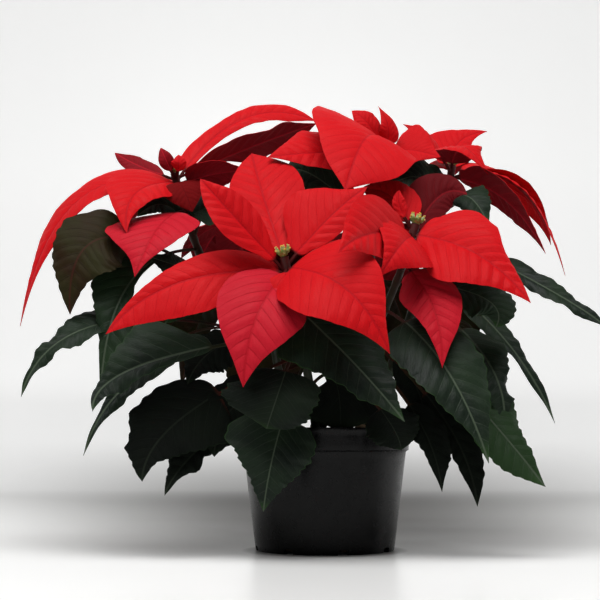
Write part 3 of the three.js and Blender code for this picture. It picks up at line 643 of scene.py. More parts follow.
def blade(root, row, settings, rng, is_leaf):
    """A bract or leaf on its stalk, quilted between its side veins, with a grooved midrib."""
    curve = Bow(root, row["via"], row["tip"])
    face = unit(row["face"])
    stalk = min(LONGEST_STALK, row["stalk"] / curve.length)
    lamina = (1 - stalk) * curve.length
    even = np.linspace(0, 1, settings.stations)
    along = even - TIP_CROWDING * np.sin(2 * math.pi * even)
    shares = [np.linspace(0, stalk, STALK_RINGS, endpoint=False), stalk + (1 - stalk) * along]
    share = np.concatenate(shares)
    along = np.concatenate([np.zeros(STALK_RINGS), along])
    on_stalk = np.concatenate([np.linspace(-1, 0, STALK_RINGS, endpoint=False), np.zeros(len(even))])

    centre, ahead = curve.point(share), curve.ahead(share)
    up = unit(face - (ahead @ face)[:, None] * ahead)
    right = np.cross(ahead, up)

    columns = settings.strips + 1
    even = np.linspace(-1, 1, columns)
    across = np.sign(even) * np.abs(even) ** MIDRIB_CROWDING
    left = across < 0
    lead = np.where(left, LEFT_VEINS_AHEAD, 0)
    a = along[:, None]
    halves = {side: half_width(row, along, side) for side in (-1, 1)}
    widest = max(8.0, *(half.max() for half in halves.values()))
    spacing = np.clip(lamina / SIDE_VEINS, *VEIN_SPACING)

    # Small teeth where the side veins meet the edge, and a fine ruffle between them.
    edge = LEAF_EDGE if is_leaf else BRACT_EDGE
    tooth = edge["tooth"] * min(1, widest / 26)
    phase = rng.uniform(0, 2 * math.pi, 6)
    half = np.where(left, halves[-1][:, None], halves[1][:, None])
    meet = (a * lamina - VEIN_SLANT * half) / spacing + lead
    body = np.sin(math.pi * a) ** 0.7
    drawn = body * ease(3, 12, half)
    half = half + tooth * drawn * (np.abs(np.sin(math.pi * meet)) ** 1.5 - 0.6)
    wander = 0.015 * np.sin(7 * a + phase[0]) + edge["wander"] * np.sin(23 * a + phase[3])
    half = half * (1 + wander * drawn)

    x = across * half
    e = np.abs(across)[None, :] * np.ones_like(x)
    offset = np.where(left, LEFT_EDGE_OFFSET, 0)
    ripple = np.sin(2 * math.pi * row["waves"] * a + offset)
    ripple = row["wave"] * e**2 * ripple * np.sin(math.pi * a)
    long_ruffle = np.sin(2 * math.pi * 5.3 * a + phase[1] + 1.7 * left)
    short_ruffle = 0.6 * np.sin(2 * math.pi * 8.9 * a + phase[2] + left)
    ruffle = edge["ruffle"] * e**3 * drawn * (long_ruffle + short_ruffle)
    height = half * (row["fold"] * e - row["curl"] * e**2) + ripple + ruffle

    thin = np.minimum(1, a / THIN_BY)
    vein = (a * lamina - VEIN_SLANT * np.abs(x) - VEIN_BEND * x**2 / widest) / spacing
    near = np.abs(vein + lead - np.round(vein + lead))
    margin = ease(1.2, 4.5, np.abs(x)) * (1 - 0.85 * ease(0.72, 1, e))
    rise = settings.quilting * row.get("quilt", 1) * spacing
    quilt = rise * np.sin(math.pi * near) ** 2 * margin * thin * body
    groove = GROOVE_DEPTH * np.exp(-((x / GROOVE_WIDTH) ** 2)) * thin * (1 - a) ** 0.4
    ridge = settings.rib / MM * np.exp(-((x / RIB_WIDTH) ** 2)) * thin * (1 - a) ** 0.7

    plate = settings.thickness / MM * (0.6 + 0.4 * (1 - e**2))
    rod = STALK_THICKNESS * np.sqrt(np.maximum(0, 1 - e**2))
    depth = rod * (1 - thin) + plate * thin + 0.04
    heights = (height + quilt - groove + depth / 2, height + quilt - ridge - depth / 2)
    points = np.concatenate([
        (centre[:, None] + right[:, None] * x[..., None] + up[:, None] * z[..., None]).reshape(-1, 3)
        for z in heights
    ])

    quads, on_left, finish = blade_faces(len(share), columns, bool(row.get("turned")))
    flat_vein = np.tile(vein.ravel(), 2)[quads] + np.where(on_left, LEFT_VEINS_AHEAD, 0)[:, None]
    uv = np.stack([flat_vein, np.tile((x / spacing).ravel(), 2)[quads]], -1)
    mark_along = np.broadcast_to(np.where(on_stalk < 0, on_stalk, along)[:, None], x.shape)
    tone = np.full_like(x, row.get("tone", 0) + rng.uniform(-0.12, 0.12))
    marks = np.tile(np.stack([mark_along, e, tone], -1).reshape(-1, 3), (2, 1))
    return Part(points, quads, np.full(len(quads), 4), finish, uv, marks)


def blade_faces(rings, columns, is_turned):
    """The faces of a closed blade, which of them are left of its midrib, and their finishes.

    Finish 0 is the upper side's and 1 the under side's. A turned blade has them the other way round.
    """
    level, column = np.meshgrid(np.arange(rings - 1), np.arange(columns - 1), indexing="ij")
    low = (level * columns + column).ravel()
    sheet = np.stack([low, low + 1, low + columns + 1, low + columns], -1)
    sheet_left = (column < (columns - 1) / 2).ravel()
    # A face splits from its first corner to its third, so it folds along the side veins.
    sheet[sheet_left] = np.roll(sheet[sheet_left], -1, axis=1)

    under = rings * columns  # from a point of the upper side to the one below it
    first = np.arange(rings - 1) * columns
    last = first + columns - 1
    foot = np.arange(columns - 1)
    tip = (rings - 1) * columns + foot
    end_left = foot < (columns - 1) / 2
    groups = (
        (sheet, sheet_left),
        (sheet[:, [0, 3, 2, 1]] + under, sheet_left),
        (np.stack([first, first + columns, first + columns + under, first + under], -1), True),
        (np.stack([last, last + under, last + columns + under, last + columns], -1), False),
        (np.stack([foot, foot + under, foot + 1 + under, foot + 1], -1), end_left),
        (np.stack([tip, tip + 1, tip + 1 + under, tip + under], -1), end_left),
    )
    quads = np.concatenate([faces for faces, _ in groups])
    on_left = np.concatenate([np.broadcast_to(is_left, len(faces)) for faces, is_left in groups])
    finish = np.full(len(quads), int(is_turned))
    finish[len(sheet):2 * len(sheet)] = not is_turned
    return quads, on_left, finish


# ---- finishes ------------------------------------------------------------------------------------


# Half widths of the side veins and of the midrib, as shares of the side veins' spacing.
BRACT_VEINS = (0.085, 0.10)
LEAF_VEINS = (0.06, 0.085)


class Finish:
    """A material's node tree, written a node at a time."""

    def __init__(self, name, **sockets):
        self.material = bpy.data.materials.new(name)
        self.material.use_nodes = True
        self.tree = self.material.node_tree
        self.shader = self.tree.nodes["Principled BSDF"]
        for socket, value in sockets.items():
            self.shader.inputs[socket.replace("_", " ")].default_value = value

    def node(self, kind, *inputs, **settings):
        made = self.tree.nodes.new("ShaderNode" + kind)
        for name, value in settings.items():
            setattr(made, name, value)
        for socket, value in zip(made.inputs, inputs):
            self.feed(socket, value)
        return made

    def feed(self, socket, value):
        if isinstance(value, bpy.types.NodeSocket):
            self.tree.links.new(value, socket)
        elif value is not None:
            socket.default_value = value

    def calc(self, operation, *values):
        return self.node("Math", *values, operation=operation).outputs[0]

    def times(self, *values):
        return self.calc("MULTIPLY", *values)

    def plus(self, *values):
        return self.calc("ADD", *values)

    def most(self, *values):
        return self.calc("MAXIMUM", *values)

    def span(self, value, from_low, from_high, low=0.0, high=1.0):
        made = self.node("MapRange", value, from_low, from_high, low, high, interpolation_type="SMOOTHSTEP")
        return made.outputs[0]

    def mix(self, share, first, second):
        made = self.tree.nodes.new("ShaderNodeMix")
        made.data_type = "RGBA"
        self.feed(made.inputs[0], share)
        for socket, value in ((made.inputs[6], first), (made.inputs[7], second)):
            self.feed(socket, value if isinstance(value, bpy.types.NodeSocket) else (*value, 1))
        return made.outputs[2]

    def over(self, base, tint, mask, share):
        """Lays a colour over the base where a mask says, at a share of its strength."""
        return self.mix(self.times(mask, share), base, tint)

    def place(self):
        return self.node("TexCoord").outputs["Object"]

    def axes(self, vector):
        return self.node("SeparateXYZ", vector).outputs

    def clouds(self, scale, detail=3.0, rough=0.5):
        made = self.node("TexNoise")
        self.feed(made.inputs["Vector"], self.place())
        for socket, value in (("Scale", scale), ("Detail", detail), ("Roughness", rough)):
            made.inputs[socket].default_value = value
        return made.outputs[0]

    def paint(self, base, rough=None):
        self.feed(self.shader.inputs["Base Color"], base)
        if rough is not None:
            self.feed(self.shader.inputs["Roughness"], rough)

    def bump(self, height, distance, strength=1.0):
        made = self.node("Bump")
        made.inputs["Strength"].default_value = strength
        made.inputs["Distance"].default_value = distance
        self.feed(made.inputs["Height"], height)
        self.feed(self.shader.inputs["Normal"], made.outputs[0])

    def growth(self):
        marks = self.node("Attribute", attribute_name="growth", attribute_type="GEOMETRY")
        return self.axes(marks.outputs["Vector"])

    def veins(self, width, rib_width, edge):
        """How much of a point is side vein, midrib and fine net, each from 0 to 1."""
        uv = self.node("UVMap", uv_map="veins").outputs[0]
        across_veins, across_rib, _ = self.axes(uv)
        bend = self.times(self.calc("SUBTRACT", self.clouds(70, 1), 0.5), 0.16)
        near = self.calc("PINGPONG", self.plus(across_veins, bend), 0.5)
        taper = self.span(edge, 0.0, 1.0, width, width * 0.35)
        side = self.span(self.calc("DIVIDE", near, taper), 0.25, 1.0, 1, 0)
        rib = self.span(self.calc("ABSOLUTE", across_rib), rib_width * 0.45, rib_width, 1, 0)
        cells = self.node("TexVoronoi", feature="DISTANCE_TO_EDGE")
        self.feed(cells.inputs["Vector"], uv)
        cells.inputs["Scale"].default_value = 3.6
        net = self.span(cells.outputs["Distance"], 0.0, 0.11, 1, 0)
        return side, rib, net


def faded(tint, share):
    return [share * part for part in tint]


def blade_finishes(colours):
    """The finishes of a plant's blades and stems, by name."""
    made = {}
    for name, is_bract, is_upper in (
        ("bract", True, True), ("bract_under_shade", True, False),
        ("leaf", False, True), ("leaf_under", False, False),
    ):
        finish = Finish(
            "poinsettia_" + name, Sheen_Weight=0.015, Sheen_Roughness=0.4,
            Specular_IOR_Level=0.07 if is_bract else 0.11,
            Sheen_Tint=(*(colours.bract if is_bract else colours.leaf_young), 1),
        )
        along, edge, tone = finish.growth()
        side, rib, net = finish.veins(*(BRACT_VEINS if is_bract else LEAF_VEINS), edge)
        lamina = finish.span(along, 0.0, 0.03)
        side = finish.times(side, lamina)
        patch = finish.span(finish.clouds(26), 0.3, 0.7)
        pale = finish.span(tone, 0.2, 1.0)
        if is_bract and is_upper:
            # Painted shade: a tone above 0 turns a bract's red to the pinker, darker shaded red.
            base = finish.mix(pale, colours.bract, colours.bract_shade_pink)
            base = finish.over(base, finish.mix(0.4, base, colours.bract_vein), patch, 0.3)
            base = finish.over(base, colours.bract_vein, side, finish.span(tone, 0.2, 1.0, 0.2, 0.6))
            base = finish.over(base, colours.bract_vein, rib, 0.45)
            base = finish.over(base, colours.bract_vein, net, 0.07)
            rough = (0.5, 0.62)
        elif is_bract:
            # The under side's own duller red, darkened further as painted shade.
            flushed = finish.mix(0.4, colours.bract_under_shade, colours.bract_vein)
            base = finish.over(colours.bract_under_shade, flushed, patch, 0.5)
            base = finish.over(base, colours.bract_vein, side, 0.5)
            base = finish.over(base, colours.bract_shade_pink, rib, 0.6)
            rough = (0.6, 0.72)
        elif is_upper:
            greener = finish.mix(0.35, colours.leaf, colours.leaf_young)
            base = finish.over(colours.leaf, greener, patch, 0.5)
            base = finish.over(base, colours.leaf_young, pale, 0.7)
            tip = finish.times(finish.span(along, 0.86, 1.0), 0.7)
            rim = finish.times(finish.span(edge, 0.965, 1.0), 0.55)
            base = finish.mix(finish.most(tip, rim), base, colours.leaf_young)
            base = finish.over(base, colours.leaf_vein, side, 0.25)
            base = finish.over(base, colours.leaf_vein, rib, 0.9)
            base = finish.over(base, colours.leaf_vein, net, 0.05)
            rough = (0.42, 0.54)
        else:
            greener = finish.mix(0.4, colours.leaf_under, colours.leaf_young)
            base = finish.over(colours.leaf_under, greener, patch, 0.5)
            base = finish.over(base, faded(colours.leaf_under, 0.4), side, 0.6)
            base = finish.over(base, colours.stem_red, rib, 0.4)
            rough = (0.6, 0.7)
        # A tone below 0 stands for a blade deep in the plant: its colour darkened as painted shade, and its
        # surface duller.
        deep_shade = (0.002, 0.001, 0.001) if is_bract else (0.001, 0.0014, 0.0009)
        base = finish.mix(finish.span(tone, -1.0, -0.15, 0.86, 0), base, deep_shade)
        dull = finish.span(tone, -1.0, -0.15, 0.9, 0.3)
        stalk = colours.stem_red if is_bract else finish.mix(patch, colours.stem_red, colours.stem)
        finish.paint(finish.mix(lamina, stalk, base), finish.most(finish.span(patch, 0, 1, *rough), dull))
        sign = -1.0 if is_upper else 1.0
        relief = finish.plus(finish.times(finish.most(side, rib), sign), finish.times(net, sign * 0.45))
        grain = finish.clouds(420, 4, 0.65)
        finish.bump(finish.plus(relief, finish.times(grain, 0.5)), 0.00028, 0.7)
        made[name] = finish.material
    made["stem"] = stem_finish("poinsettia_stem", colours.stem, colours.stem_red, 0.55, 1.0)
    made["red_stem"] = stem_finish("poinsettia_red_stem", colours.stem, colours.stem_red, -0.4, 0.3)
    made["trunk"] = trunk_finish(colours)
    return made


def stem_finish(name, low, high, start, stop):
    """A stem that turns from its low colour to its high one between two shares of its length."""
    finish = Finish(name, Specular_IOR_Level=0.2)
    along = finish.growth()[0]
    grain = finish.clouds(160, 4)
    flush = finish.times(finish.span(along, start, stop), finish.span(grain, 0.2, 0.6, 0.6, 1))
    finish.paint(finish.mix(flush, finish.mix(grain, low, faded(low, 0.6)), high),
                 finish.span(grain, 0.3, 0.7, 0.42, 0.6))
    dots = finish.node("TexVoronoi")
    finish.feed(dots.inputs["Vector"], finish.place())
    dots.inputs["Scale"].default_value = 900
    finish.bump(finish.plus(grain, finish.times(dots.outputs["Distance"], 0.4)), 0.0003, 0.6)
    return finish.material


def trunk_finish(colours):
    finish = Finish("poinsettia_trunk", Specular_IOR_Level=0.25)
    grain = finish.clouds(240, 6, 0.7)
    patch = finish.span(finish.clouds(60), 0.35, 0.65)
    bark = finish.mix(grain, colours.wood, faded(colours.wood, 0.35))
    finish.paint(finish.mix(patch, bark, finish.mix(0.5, bark, colours.stem)), 0.85)
    finish.bump(grain, 0.0008)
    return finish.material


# ---- pieces --------------------------------------------------------------------------------------


def random_for(*parts):
    return np.random.default_rng([SEED, *parts])


def shared_finishes(settings, made={}):
    """The blade finishes, made once for the leafy stems and the heads alike."""
    if not made:
        made.update(blade_finishes(settings))
    return made


def draw_plants(settings):
    for name in FEET:
        draw_plant(name, settings, shared_finishes(settings))


def draw_plant(name, settings, finishes):
    foot, heads = FEET[name]
    parts = [trunk(foot)]
    for head in heads:
        curve = stem_curve(head)
        stop = 1 - (SPUR + GAP) / curve.length
        joints = [row["share"] for rows in LEAVES.values() for row in rows if row["stem"] == head]
        parts.append(tube(curve, 0, stop, [STEM_LOW, STEM_HIGH], STEM_SIDES, 2, joints))
    for number, row in enumerate(LEAVES[name]):
        curve = stem_curve(row["stem"])
        rng = random_for(1, list(LEAVES).index(name), number)
        parts.append(blade(curve.point(curve.at(row["share"])), row, settings, rng, True))
    order = [finishes[key] for key in ("leaf", "leaf_under", "stem", "trunk")]
    piece("leafy_stems_" + name, parts, order, "plant_" + name)


def trunk(foot):
    """A short corky trunk that swells where the cutting took root and where its stems fork."""
    angle = circle(28)
    rings = []
    for z in np.linspace(TRUNK_BOTTOM, TRUNK_FORK, 34):
        fork = 0.8 * math.exp(-(((z - TRUNK_FORK + 6) / 7) ** 2))
        callus = 0.5 * math.exp(-(((z - SOIL_LEVEL) / 6) ** 2))
        radius = TRUNK_RADIUS - 0.9 + (fork + callus)
        bark = [radius + 0.45 * noise.noise(Vector((foot[0] + 6 * math.cos(t), 6 * math.sin(t), z / 3)))
                for t in angle]
        rings.append(ring(angle, np.array(bark), z, foot))
    crown = np.array([*foot, 0])
    rings.append(crown + (rings[-1] - crown) * [0.55, 0.55, 1] + [0, 0, 1.6])
    return rings_skin(rings, 3)


def draw_heads(settings):
    for name in STEMS:
        draw_head(name, settings, shared_finishes(settings))


def draw_head(name, settings, finishes):
    curve = stem_curve(name)
    radii = [STEM_HIGH, STEM_HIGH, STEM_HIGH + SPUR_FLARE]
    parts = [tube(curve, 1 - SPUR / curve.length, 1, radii, STEM_SIDES, 2)]
    for number, row in enumerate(BRACTS[name]):
        rng = random_for(2, list(BRACTS).index(name), number)
        root = curve.point(curve.at(1 - row["down"] / curve.length))
        parts.append(blade(root, row, settings, rng, False))
    order = [finishes[key] for key in ("bract", "bract_under_shade", "red_stem")]
    piece("bract_head_" + name, parts, order, "bracts_" + name)


# ---- cyathia -------------------------------------------------------------------------------------


def blob(centre, radii, frame_axes, finish, rows=8, around=12, dent=0.0):
    """A rounded grain, dented on its outer side."""
    angle = circle(around)
    rings = []
    for row in range(rows + 1):
        tilt = math.pi * (0.04 + 0.92 * row / rows)
        x, y = math.sin(tilt) * np.cos(angle), math.sin(tilt) * np.sin(angle)
        z = np.full_like(x, -math.cos(tilt))
        pull = 1 - dent * np.exp(-((z / 0.35) ** 2)) * ease(0.2, 0.9, x)
        rings.append(np.stack([x * pull * radii[0], y * radii[1], z * radii[2]], -1))
    return rings_skin(np.array(rings) @ np.array(frame_axes) + centre, finish)


def lathe(profile, around, finish, flutes=0, flute_turn=0):
    """A turned skin from (radius, height) pairs, from its foot up, with five flutes of a given depth."""
    angle = circle(around)
    shape = 1 + flutes * np.cos(5 * angle + flute_turn)
    return rings_skin([ring(angle, radius * shape, z) for radius, z in profile], finish)


def turned(part, matrix, shift):
    part.points = part.points @ np.array(matrix).T + shift
    return part


def swing(angle):
    """A turn round +Z."""
    cos, sin = math.cos(angle), math.sin(angle)
    return np.array([[cos, -sin, 0], [sin, cos, 0], [0, 0, 1]])


def cup(settings, rng):
    """One cup: its fluted wall, fringed mouth, yellow nectar lip and red stamens, standing on 0."""
    wide, high = settings.radius / MM, settings.height / MM
    profile = [(0.55, -0.6), (0.6, 0), (0.82, 0.12), (0.97, 0.3), (1, 0.48), (0.95, 0.66), (0.82, 0.82),
               (0.7, 0.92), (0.76, 1), (0.62, 1.02), (0.5, 0.93), (0.42, 0.82)]
    shape = [(radius * wide, level * high if level > 0 else level) for radius, level in profile]
    parts = [lathe(shape, 30, 0, 0.05, 0.4)]
    axes = np.eye(3)
    for tuft in range(TUFTS):
        angle = 2 * math.pi * tuft / TUFTS + rng.uniform(-0.1, 0.1)
        spot = [0.66 * wide * math.cos(angle), 0.66 * wide * math.sin(angle), high]
        parts.append(blob(spot, (0.27, 0.27, 0.5), axes, 1, 5, 8))
    lip = [wide * 1.02, 0, high * 0.72]
    parts.append(blob(lip, (0.95, 1.25, 0.85), axes, 2, 10, 20, 0.45))
    for stamen in range(STAMENS):
        angle = 2 * math.pi * (stamen + rng.uniform(-0.2, 0.2)) / STAMENS
        lean = np.array([math.cos(angle), math.sin(angle), 0]) * rng.uniform(0.3, 0.8)
        foot = lean * 0.6 + [0, 0, high * 0.8]
        top = lean * 1.5 + [0, 0, high * rng.uniform(1.12, 1.35)]
        parts.append(tube(Bow(foot, (foot + top) / 2 + [0, 0, 0.2], top), 0, 1, [0.2, 0.2], 7, 3))
        for side in (-0.3, 0.3):
            across = np.array([-math.sin(angle), math.cos(angle), 0]) * side
            parts.append(blob(top + across, (0.36, 0.36, 0.42), axes, 2, 5, 8))
    return parts


def draw_clusters(settings):
    finishes = cup_finishes(settings)
    for name in STEMS:
        draw_cluster(name, settings, finishes)


def draw_cluster(name, settings, finishes):
    curve = stem_curve(name)
    aim = curve.ahead(1.0)
    base = curve.point(1.0) + GAP * aim
    turn = np.array(Vector((0, 0, 1)).rotation_difference(Vector(aim)).to_matrix())
    rng = random_for(3, list(STEMS).index(name))
    seat = [(SEAT_FOOT, 0), (SEAT_FOOT + 1.1, 1), (SEAT_TOP - 2.2, 3), (SEAT_TOP - 0.7, 4.3),
            (SEAT_TOP - 0.9, SEAT_HEIGHT - 0.1), (SEAT_TOP - 2.5, SEAT_HEIGHT + 0.3),
            (1.5, SEAT_HEIGHT + 0.5)]
    parts = [turned(lathe(seat, 36, 4, 0.06), turn, base)]
    for number in range(CUPS):
        reach = CUP_RING if number else 0
        angle = 2 * math.pi * number / (CUPS - 1)
        lean = CUP_LEAN if number else 0
        cos, sin = math.cos(lean), math.sin(lean)
        tip = np.array([[cos, 0, sin], [0, 1, 0], [-sin, 0, cos]])
        stand = np.array([reach * math.cos(angle), reach * math.sin(angle), SEAT_HEIGHT - CUP_SUNK])
        for part in cup(settings, rng):
            turned(part, swing(angle) @ tip, stand)
            parts.append(turned(part, turn, base))
    order = [finishes[key] for key in ("cup", "mouth", "nectar", "stamen", "seat")]
    piece("flower_cups_" + name, parts, order, "cyathia_" + name, 60)


def cup_finishes(colours):
    made = {}
    for name, first, second, rough, waxy in (
        ("cup", colours.green, colours.mouth, 0.42, 0.1),
        ("mouth", colours.mouth, colours.green, 0.5, 0),
        ("nectar", colours.nectar, colours.mouth, 0.22, 0.5),
        ("stamen", colours.stamen, colours.nectar, 0.5, 0),
        ("seat", colours.green, colours.stamen, 0.55, 0),
    ):
        finish = Finish("poinsettia_" + name, Coat_Weight=waxy, Coat_Roughness=0.15)
        patch = finish.clouds(300)
        finish.paint(finish.mix(finish.span(patch, 0.35, 0.75, 0, 0.6), first, second),
                     finish.span(patch, 0.3, 0.7, rough - 0.06, rough + 0.08))
        finish.bump(finish.clouds(1400), 0.0002, 0.6)
        made[name] = finish.material
    return made


# ---- pot and peat --------------------------------------------------------------------------------


def wall_radius(z):
    return FOOT_RADIUS + (WALL_RADIUS - FOOT_RADIUS) * z / (POT_HEIGHT - BAND)


def arc(centre, radius, start, stop, steps=5):
    """(radius, height) pairs round a moulded edge, its angles in degrees."""
    turns = np.radians(np.linspace(start, stop, steps))
    return [(centre[0] + radius * math.cos(turn), centre[1] + radius * math.sin(turn)) for turn in turns]


def pot_profile(high, rim, edge):
    """The pot's section from the middle of its underside, up the outside and down the inside."""
    band = high - BAND
    taper = rim - BAND_TAPER
    outside = [(0.5, 0.6), (FOOT_RADIUS - 7, 0.6), (FOOT_RADIUS - 5.5, 0)]
    outside += arc((FOOT_RADIUS - 1.5, 1.5), 1.5, -90, -8)
    outside += [(wall_radius(z), z) for z in np.linspace(4, band - 1.4, 14)]
    outside += [(WALL_RADIUS + 0.5, band - 0.5), (WALL_RADIUS + 1.4, band)]
    outside += arc((taper - edge, band + edge), edge, -80, 0, 4)
    outside += [(taper + 0.35, band + 6), (taper + 0.8, high - 8)]
    outside += [(rim - 0.35, high - 3.6), (rim - 0.05, high - 3.1)]
    outside += arc((rim - edge, high - edge), edge, 0, 90)
    inside = arc((rim - WALL - 0.2 + edge, high - edge), edge, 90, 180, 4)
    inside += [(rim - WALL - 0.6, high - 8), (WALL_RADIUS - WALL, band), (wall_radius(60) - WALL, 60),
               (wall_radius(30) - WALL, 30), (wall_radius(FLOOR) - WALL - 1, FLOOR + 1),
               (wall_radius(FLOOR) - WALL - 2.2, FLOOR), (0.5, FLOOR)]
    return outside + inside


def draw_pot(settings):
    high, rim, edge = settings.height / MM, settings.rim_radius / MM, settings.round_edge / MM
    body = lathe(pot_profile(high, rim, edge), settings.sides, 0)
    finish = pot_finish(settings)
    made = piece("nursery_pot", [body], [finish], "pot", MOULDED_EDGE)
    cutter = drain_cutter()
    cut = made.modifiers.new("drains", "BOOLEAN")
    cut.operation, cut.object, cut.solver = "DIFFERENCE", cutter, "EXACT"
    bpy.context.view_layer.update()
    shaped = bpy.data.meshes.new_from_object(made.evaluated_get(bpy.context.evaluated_depsgraph_get()))
    made.modifiers.clear()
    made.data = shaped
    shaped.name = "nursery_pot"
    shaped.set_sharp_from_angle(angle=math.radians(MOULDED_EDGE))
    bpy.data.objects.remove(cutter)


def drain_cutter():
    """Round-topped blocks for the drain notches round the pot's foot."""
    corner = DRAIN_HALF_WIDTH - DRAIN_ROUND
    outline = [(-DRAIN_HALF_WIDTH, -4), (DRAIN_HALF_WIDTH, -4), (DRAIN_HALF_WIDTH, DRAIN_SPRING)]
    outline += arc((corner, DRAIN_SPRING), DRAIN_ROUND, 30, 90, 3)
    outline += arc((-corner, DRAIN_SPRING), DRAIN_ROUND, 90, 180, 4)
    made = bmesh.new()
    for slot in range(DRAINS):
        turn = 2 * math.pi * (slot + DRAIN_TURN) / DRAINS
        inner, outer = (
            [made.verts.new(swing(turn) @ [radius * MM, y * MM, z * MM]) for y, z in outline]
            for radius in (FOOT_RADIUS - 7, FOOT_RADIUS + 7)
        )
        made.faces.new(inner[::-1])
        made.faces.new(outer)
        for side in range(len(outline)):
            after = (side + 1) % len(outline)
            made.faces.new([inner[side], inner[after], outer[after], outer[side]])
    bmesh.ops.recalc_face_normals(made, faces=made.faces)
    mesh = bpy.data.meshes.new("drains")
    made.to_mesh(mesh)
    made.free()
    cutter = bpy.data.objects.new("drains", mesh)
    bpy.context.scene.collection.objects.link(cutter)
    return cutter


def pot_finish(settings):
    finish = Finish("pot_plastic", Specular_IOR_Level=0.14)
    scuff = finish.clouds(34, 6, 0.7)
    pale = [min(1, 2.4 * part + 0.004) for part in settings.plastic]
    worn = finish.mix(finish.span(scuff, 0.55, 0.8, 0, 0.5), settings.plastic, pale)
    # Painted shade: the plastic darkens towards the foot, to 0.3 of its colour at the bottom.
    high = finish.span(finish.axes(finish.place())[2], 0, 0.09)
    finish.paint(finish.mix(high, faded(settings.plastic, 0.3), worn),
                 finish.span(finish.clouds(90, 5, 0.6), 0.3, 0.7, 0.20, 0.30))
    finish.bump(finish.clouds(900), 0.00012, 0.5)
    return finish.material


def draw_peat(settings):
    """Crumbly peat up to the shoulder, with white grains and dark chips lying in it."""
    relief = settings.relief / MM
    angle = circle(120)
    edge = SOIL_LEVEL - SOIL_EDGE_DROP
    inset = WALL + GAP
    floor = FLOOR + GAP
    outer = wall_radius(edge) - inset
    sides = [(2, floor), (wall_radius(floor) - inset - 2, floor), (outer, edge - 2)]
    rings = [ring(angle, radius, z) for radius, z in sides]
    for radius in np.linspace(outer, 1, 52):
        level = peat_level(radius, outer)
        fade = ease(outer, outer - 4, radius)
        z = [level + relief * fade * crumb(radius * math.cos(t), radius * math.sin(t)) for t in angle]
        rings.append(ring(angle, radius, z))
    parts = [rings_skin(rings)]
    rng = random_for(4)
    for grain in range(settings.perlite + PEAT_CHIPS):
        radius, turn = outer * math.sqrt(rng.uniform(0.004, 0.93)), rng.uniform(0, 2 * math.pi)
        spot = np.array([radius * math.cos(turn), radius * math.sin(turn), 0])
        spot[2] = peat_level(radius, outer) + relief * crumb(spot[0], spot[1]) + 0.2
        is_white = grain < settings.perlite
        size = rng.uniform(0.7, 1.9, 3) if is_white else rng.uniform((1.5, 0.7, 0.5), (4, 1.4, 1))
        made = blob(spot, size, swing(rng.uniform(0, 2 * math.pi)).T, 1 if is_white else 0, 5, 8)
        made.points = made.points + 0.22 * rng.standard_normal(made.points.shape)
        parts.append(made)
    order = [peat_finish("peat", settings.fibre, 0.95), peat_finish("perlite", settings.grain, 0.8)]
    piece("peat", parts, order, "soil", 80)


def peat_level(radius, outer):
    mound = SOIL_MOUND * (1 - ease(14, SOIL_SHOULDER - 2, radius))
    return SOIL_LEVEL + mound - SOIL_EDGE_DROP * ease(SOIL_SHOULDER, outer, radius) - 1


def crumb(x, y):
    spot = Vector((x, y, 0))
    return 0.7 * noise.noise(spot * 0.16) + 0.5 * noise.noise(spot * 0.42) + 0.4 * noise.noise(spot * 0.9)


def peat_finish(name, base, rough):
    finish = Finish(name, Specular_IOR_Level=0.15, Roughness=rough)
    grain = finish.clouds(420, 8, 0.75)
    finish.paint(finish.mix(finish.span(grain, 0.35, 0.65), faded(base, 0.3), base))
    finish.bump(grain, 0.0014)
    return finish.material


# ---- studio --------------------------------------------------------------------------------------


SWEEP_RADIUS = 0.9  # metres, like all that follows on the studio
SWEEP_BACK = 1.5
SWEEP_FRONT = (-6, -3, -1.5, 0)
SWEEP_HALF_WIDTH = 7
SWEEP_TOP = 5
# Colour of the shadow painted on the floor.
PAINTED_SHADOW_TINT = (0.036, 0.033, 0.030)
LENS_POINT = (-0.02375, -1.198, 0.101)


def sweep_mesh():
    """A floor that bends up into a backdrop."""
    bend = np.radians(np.arange(5, 91, 5))
    profile = [(y, 0) for y in (*SWEEP_FRONT, SWEEP_BACK)]
    profile += [
        (SWEEP_BACK + SWEEP_RADIUS * math.sin(t), SWEEP_RADIUS - SWEEP_RADIUS * math.cos(t)) for t in bend
    ]
    profile += [(SWEEP_BACK + SWEEP_RADIUS, SWEEP_TOP)]
    points = [(x, y, z) for y, z in profile for x in (-SWEEP_HALF_WIDTH, SWEEP_HALF_WIDTH)]
    faces = [(2 * i, 2 * i + 1, 2 * i + 3, 2 * i + 2) for i in range(len(profile) - 1)]
    mesh = bpy.data.meshes.new("studio_floor")
    mesh.from_pydata(points, [], faces)
    mesh.polygons.foreach_set("use_smooth", [True] * len(faces))
    return mesh


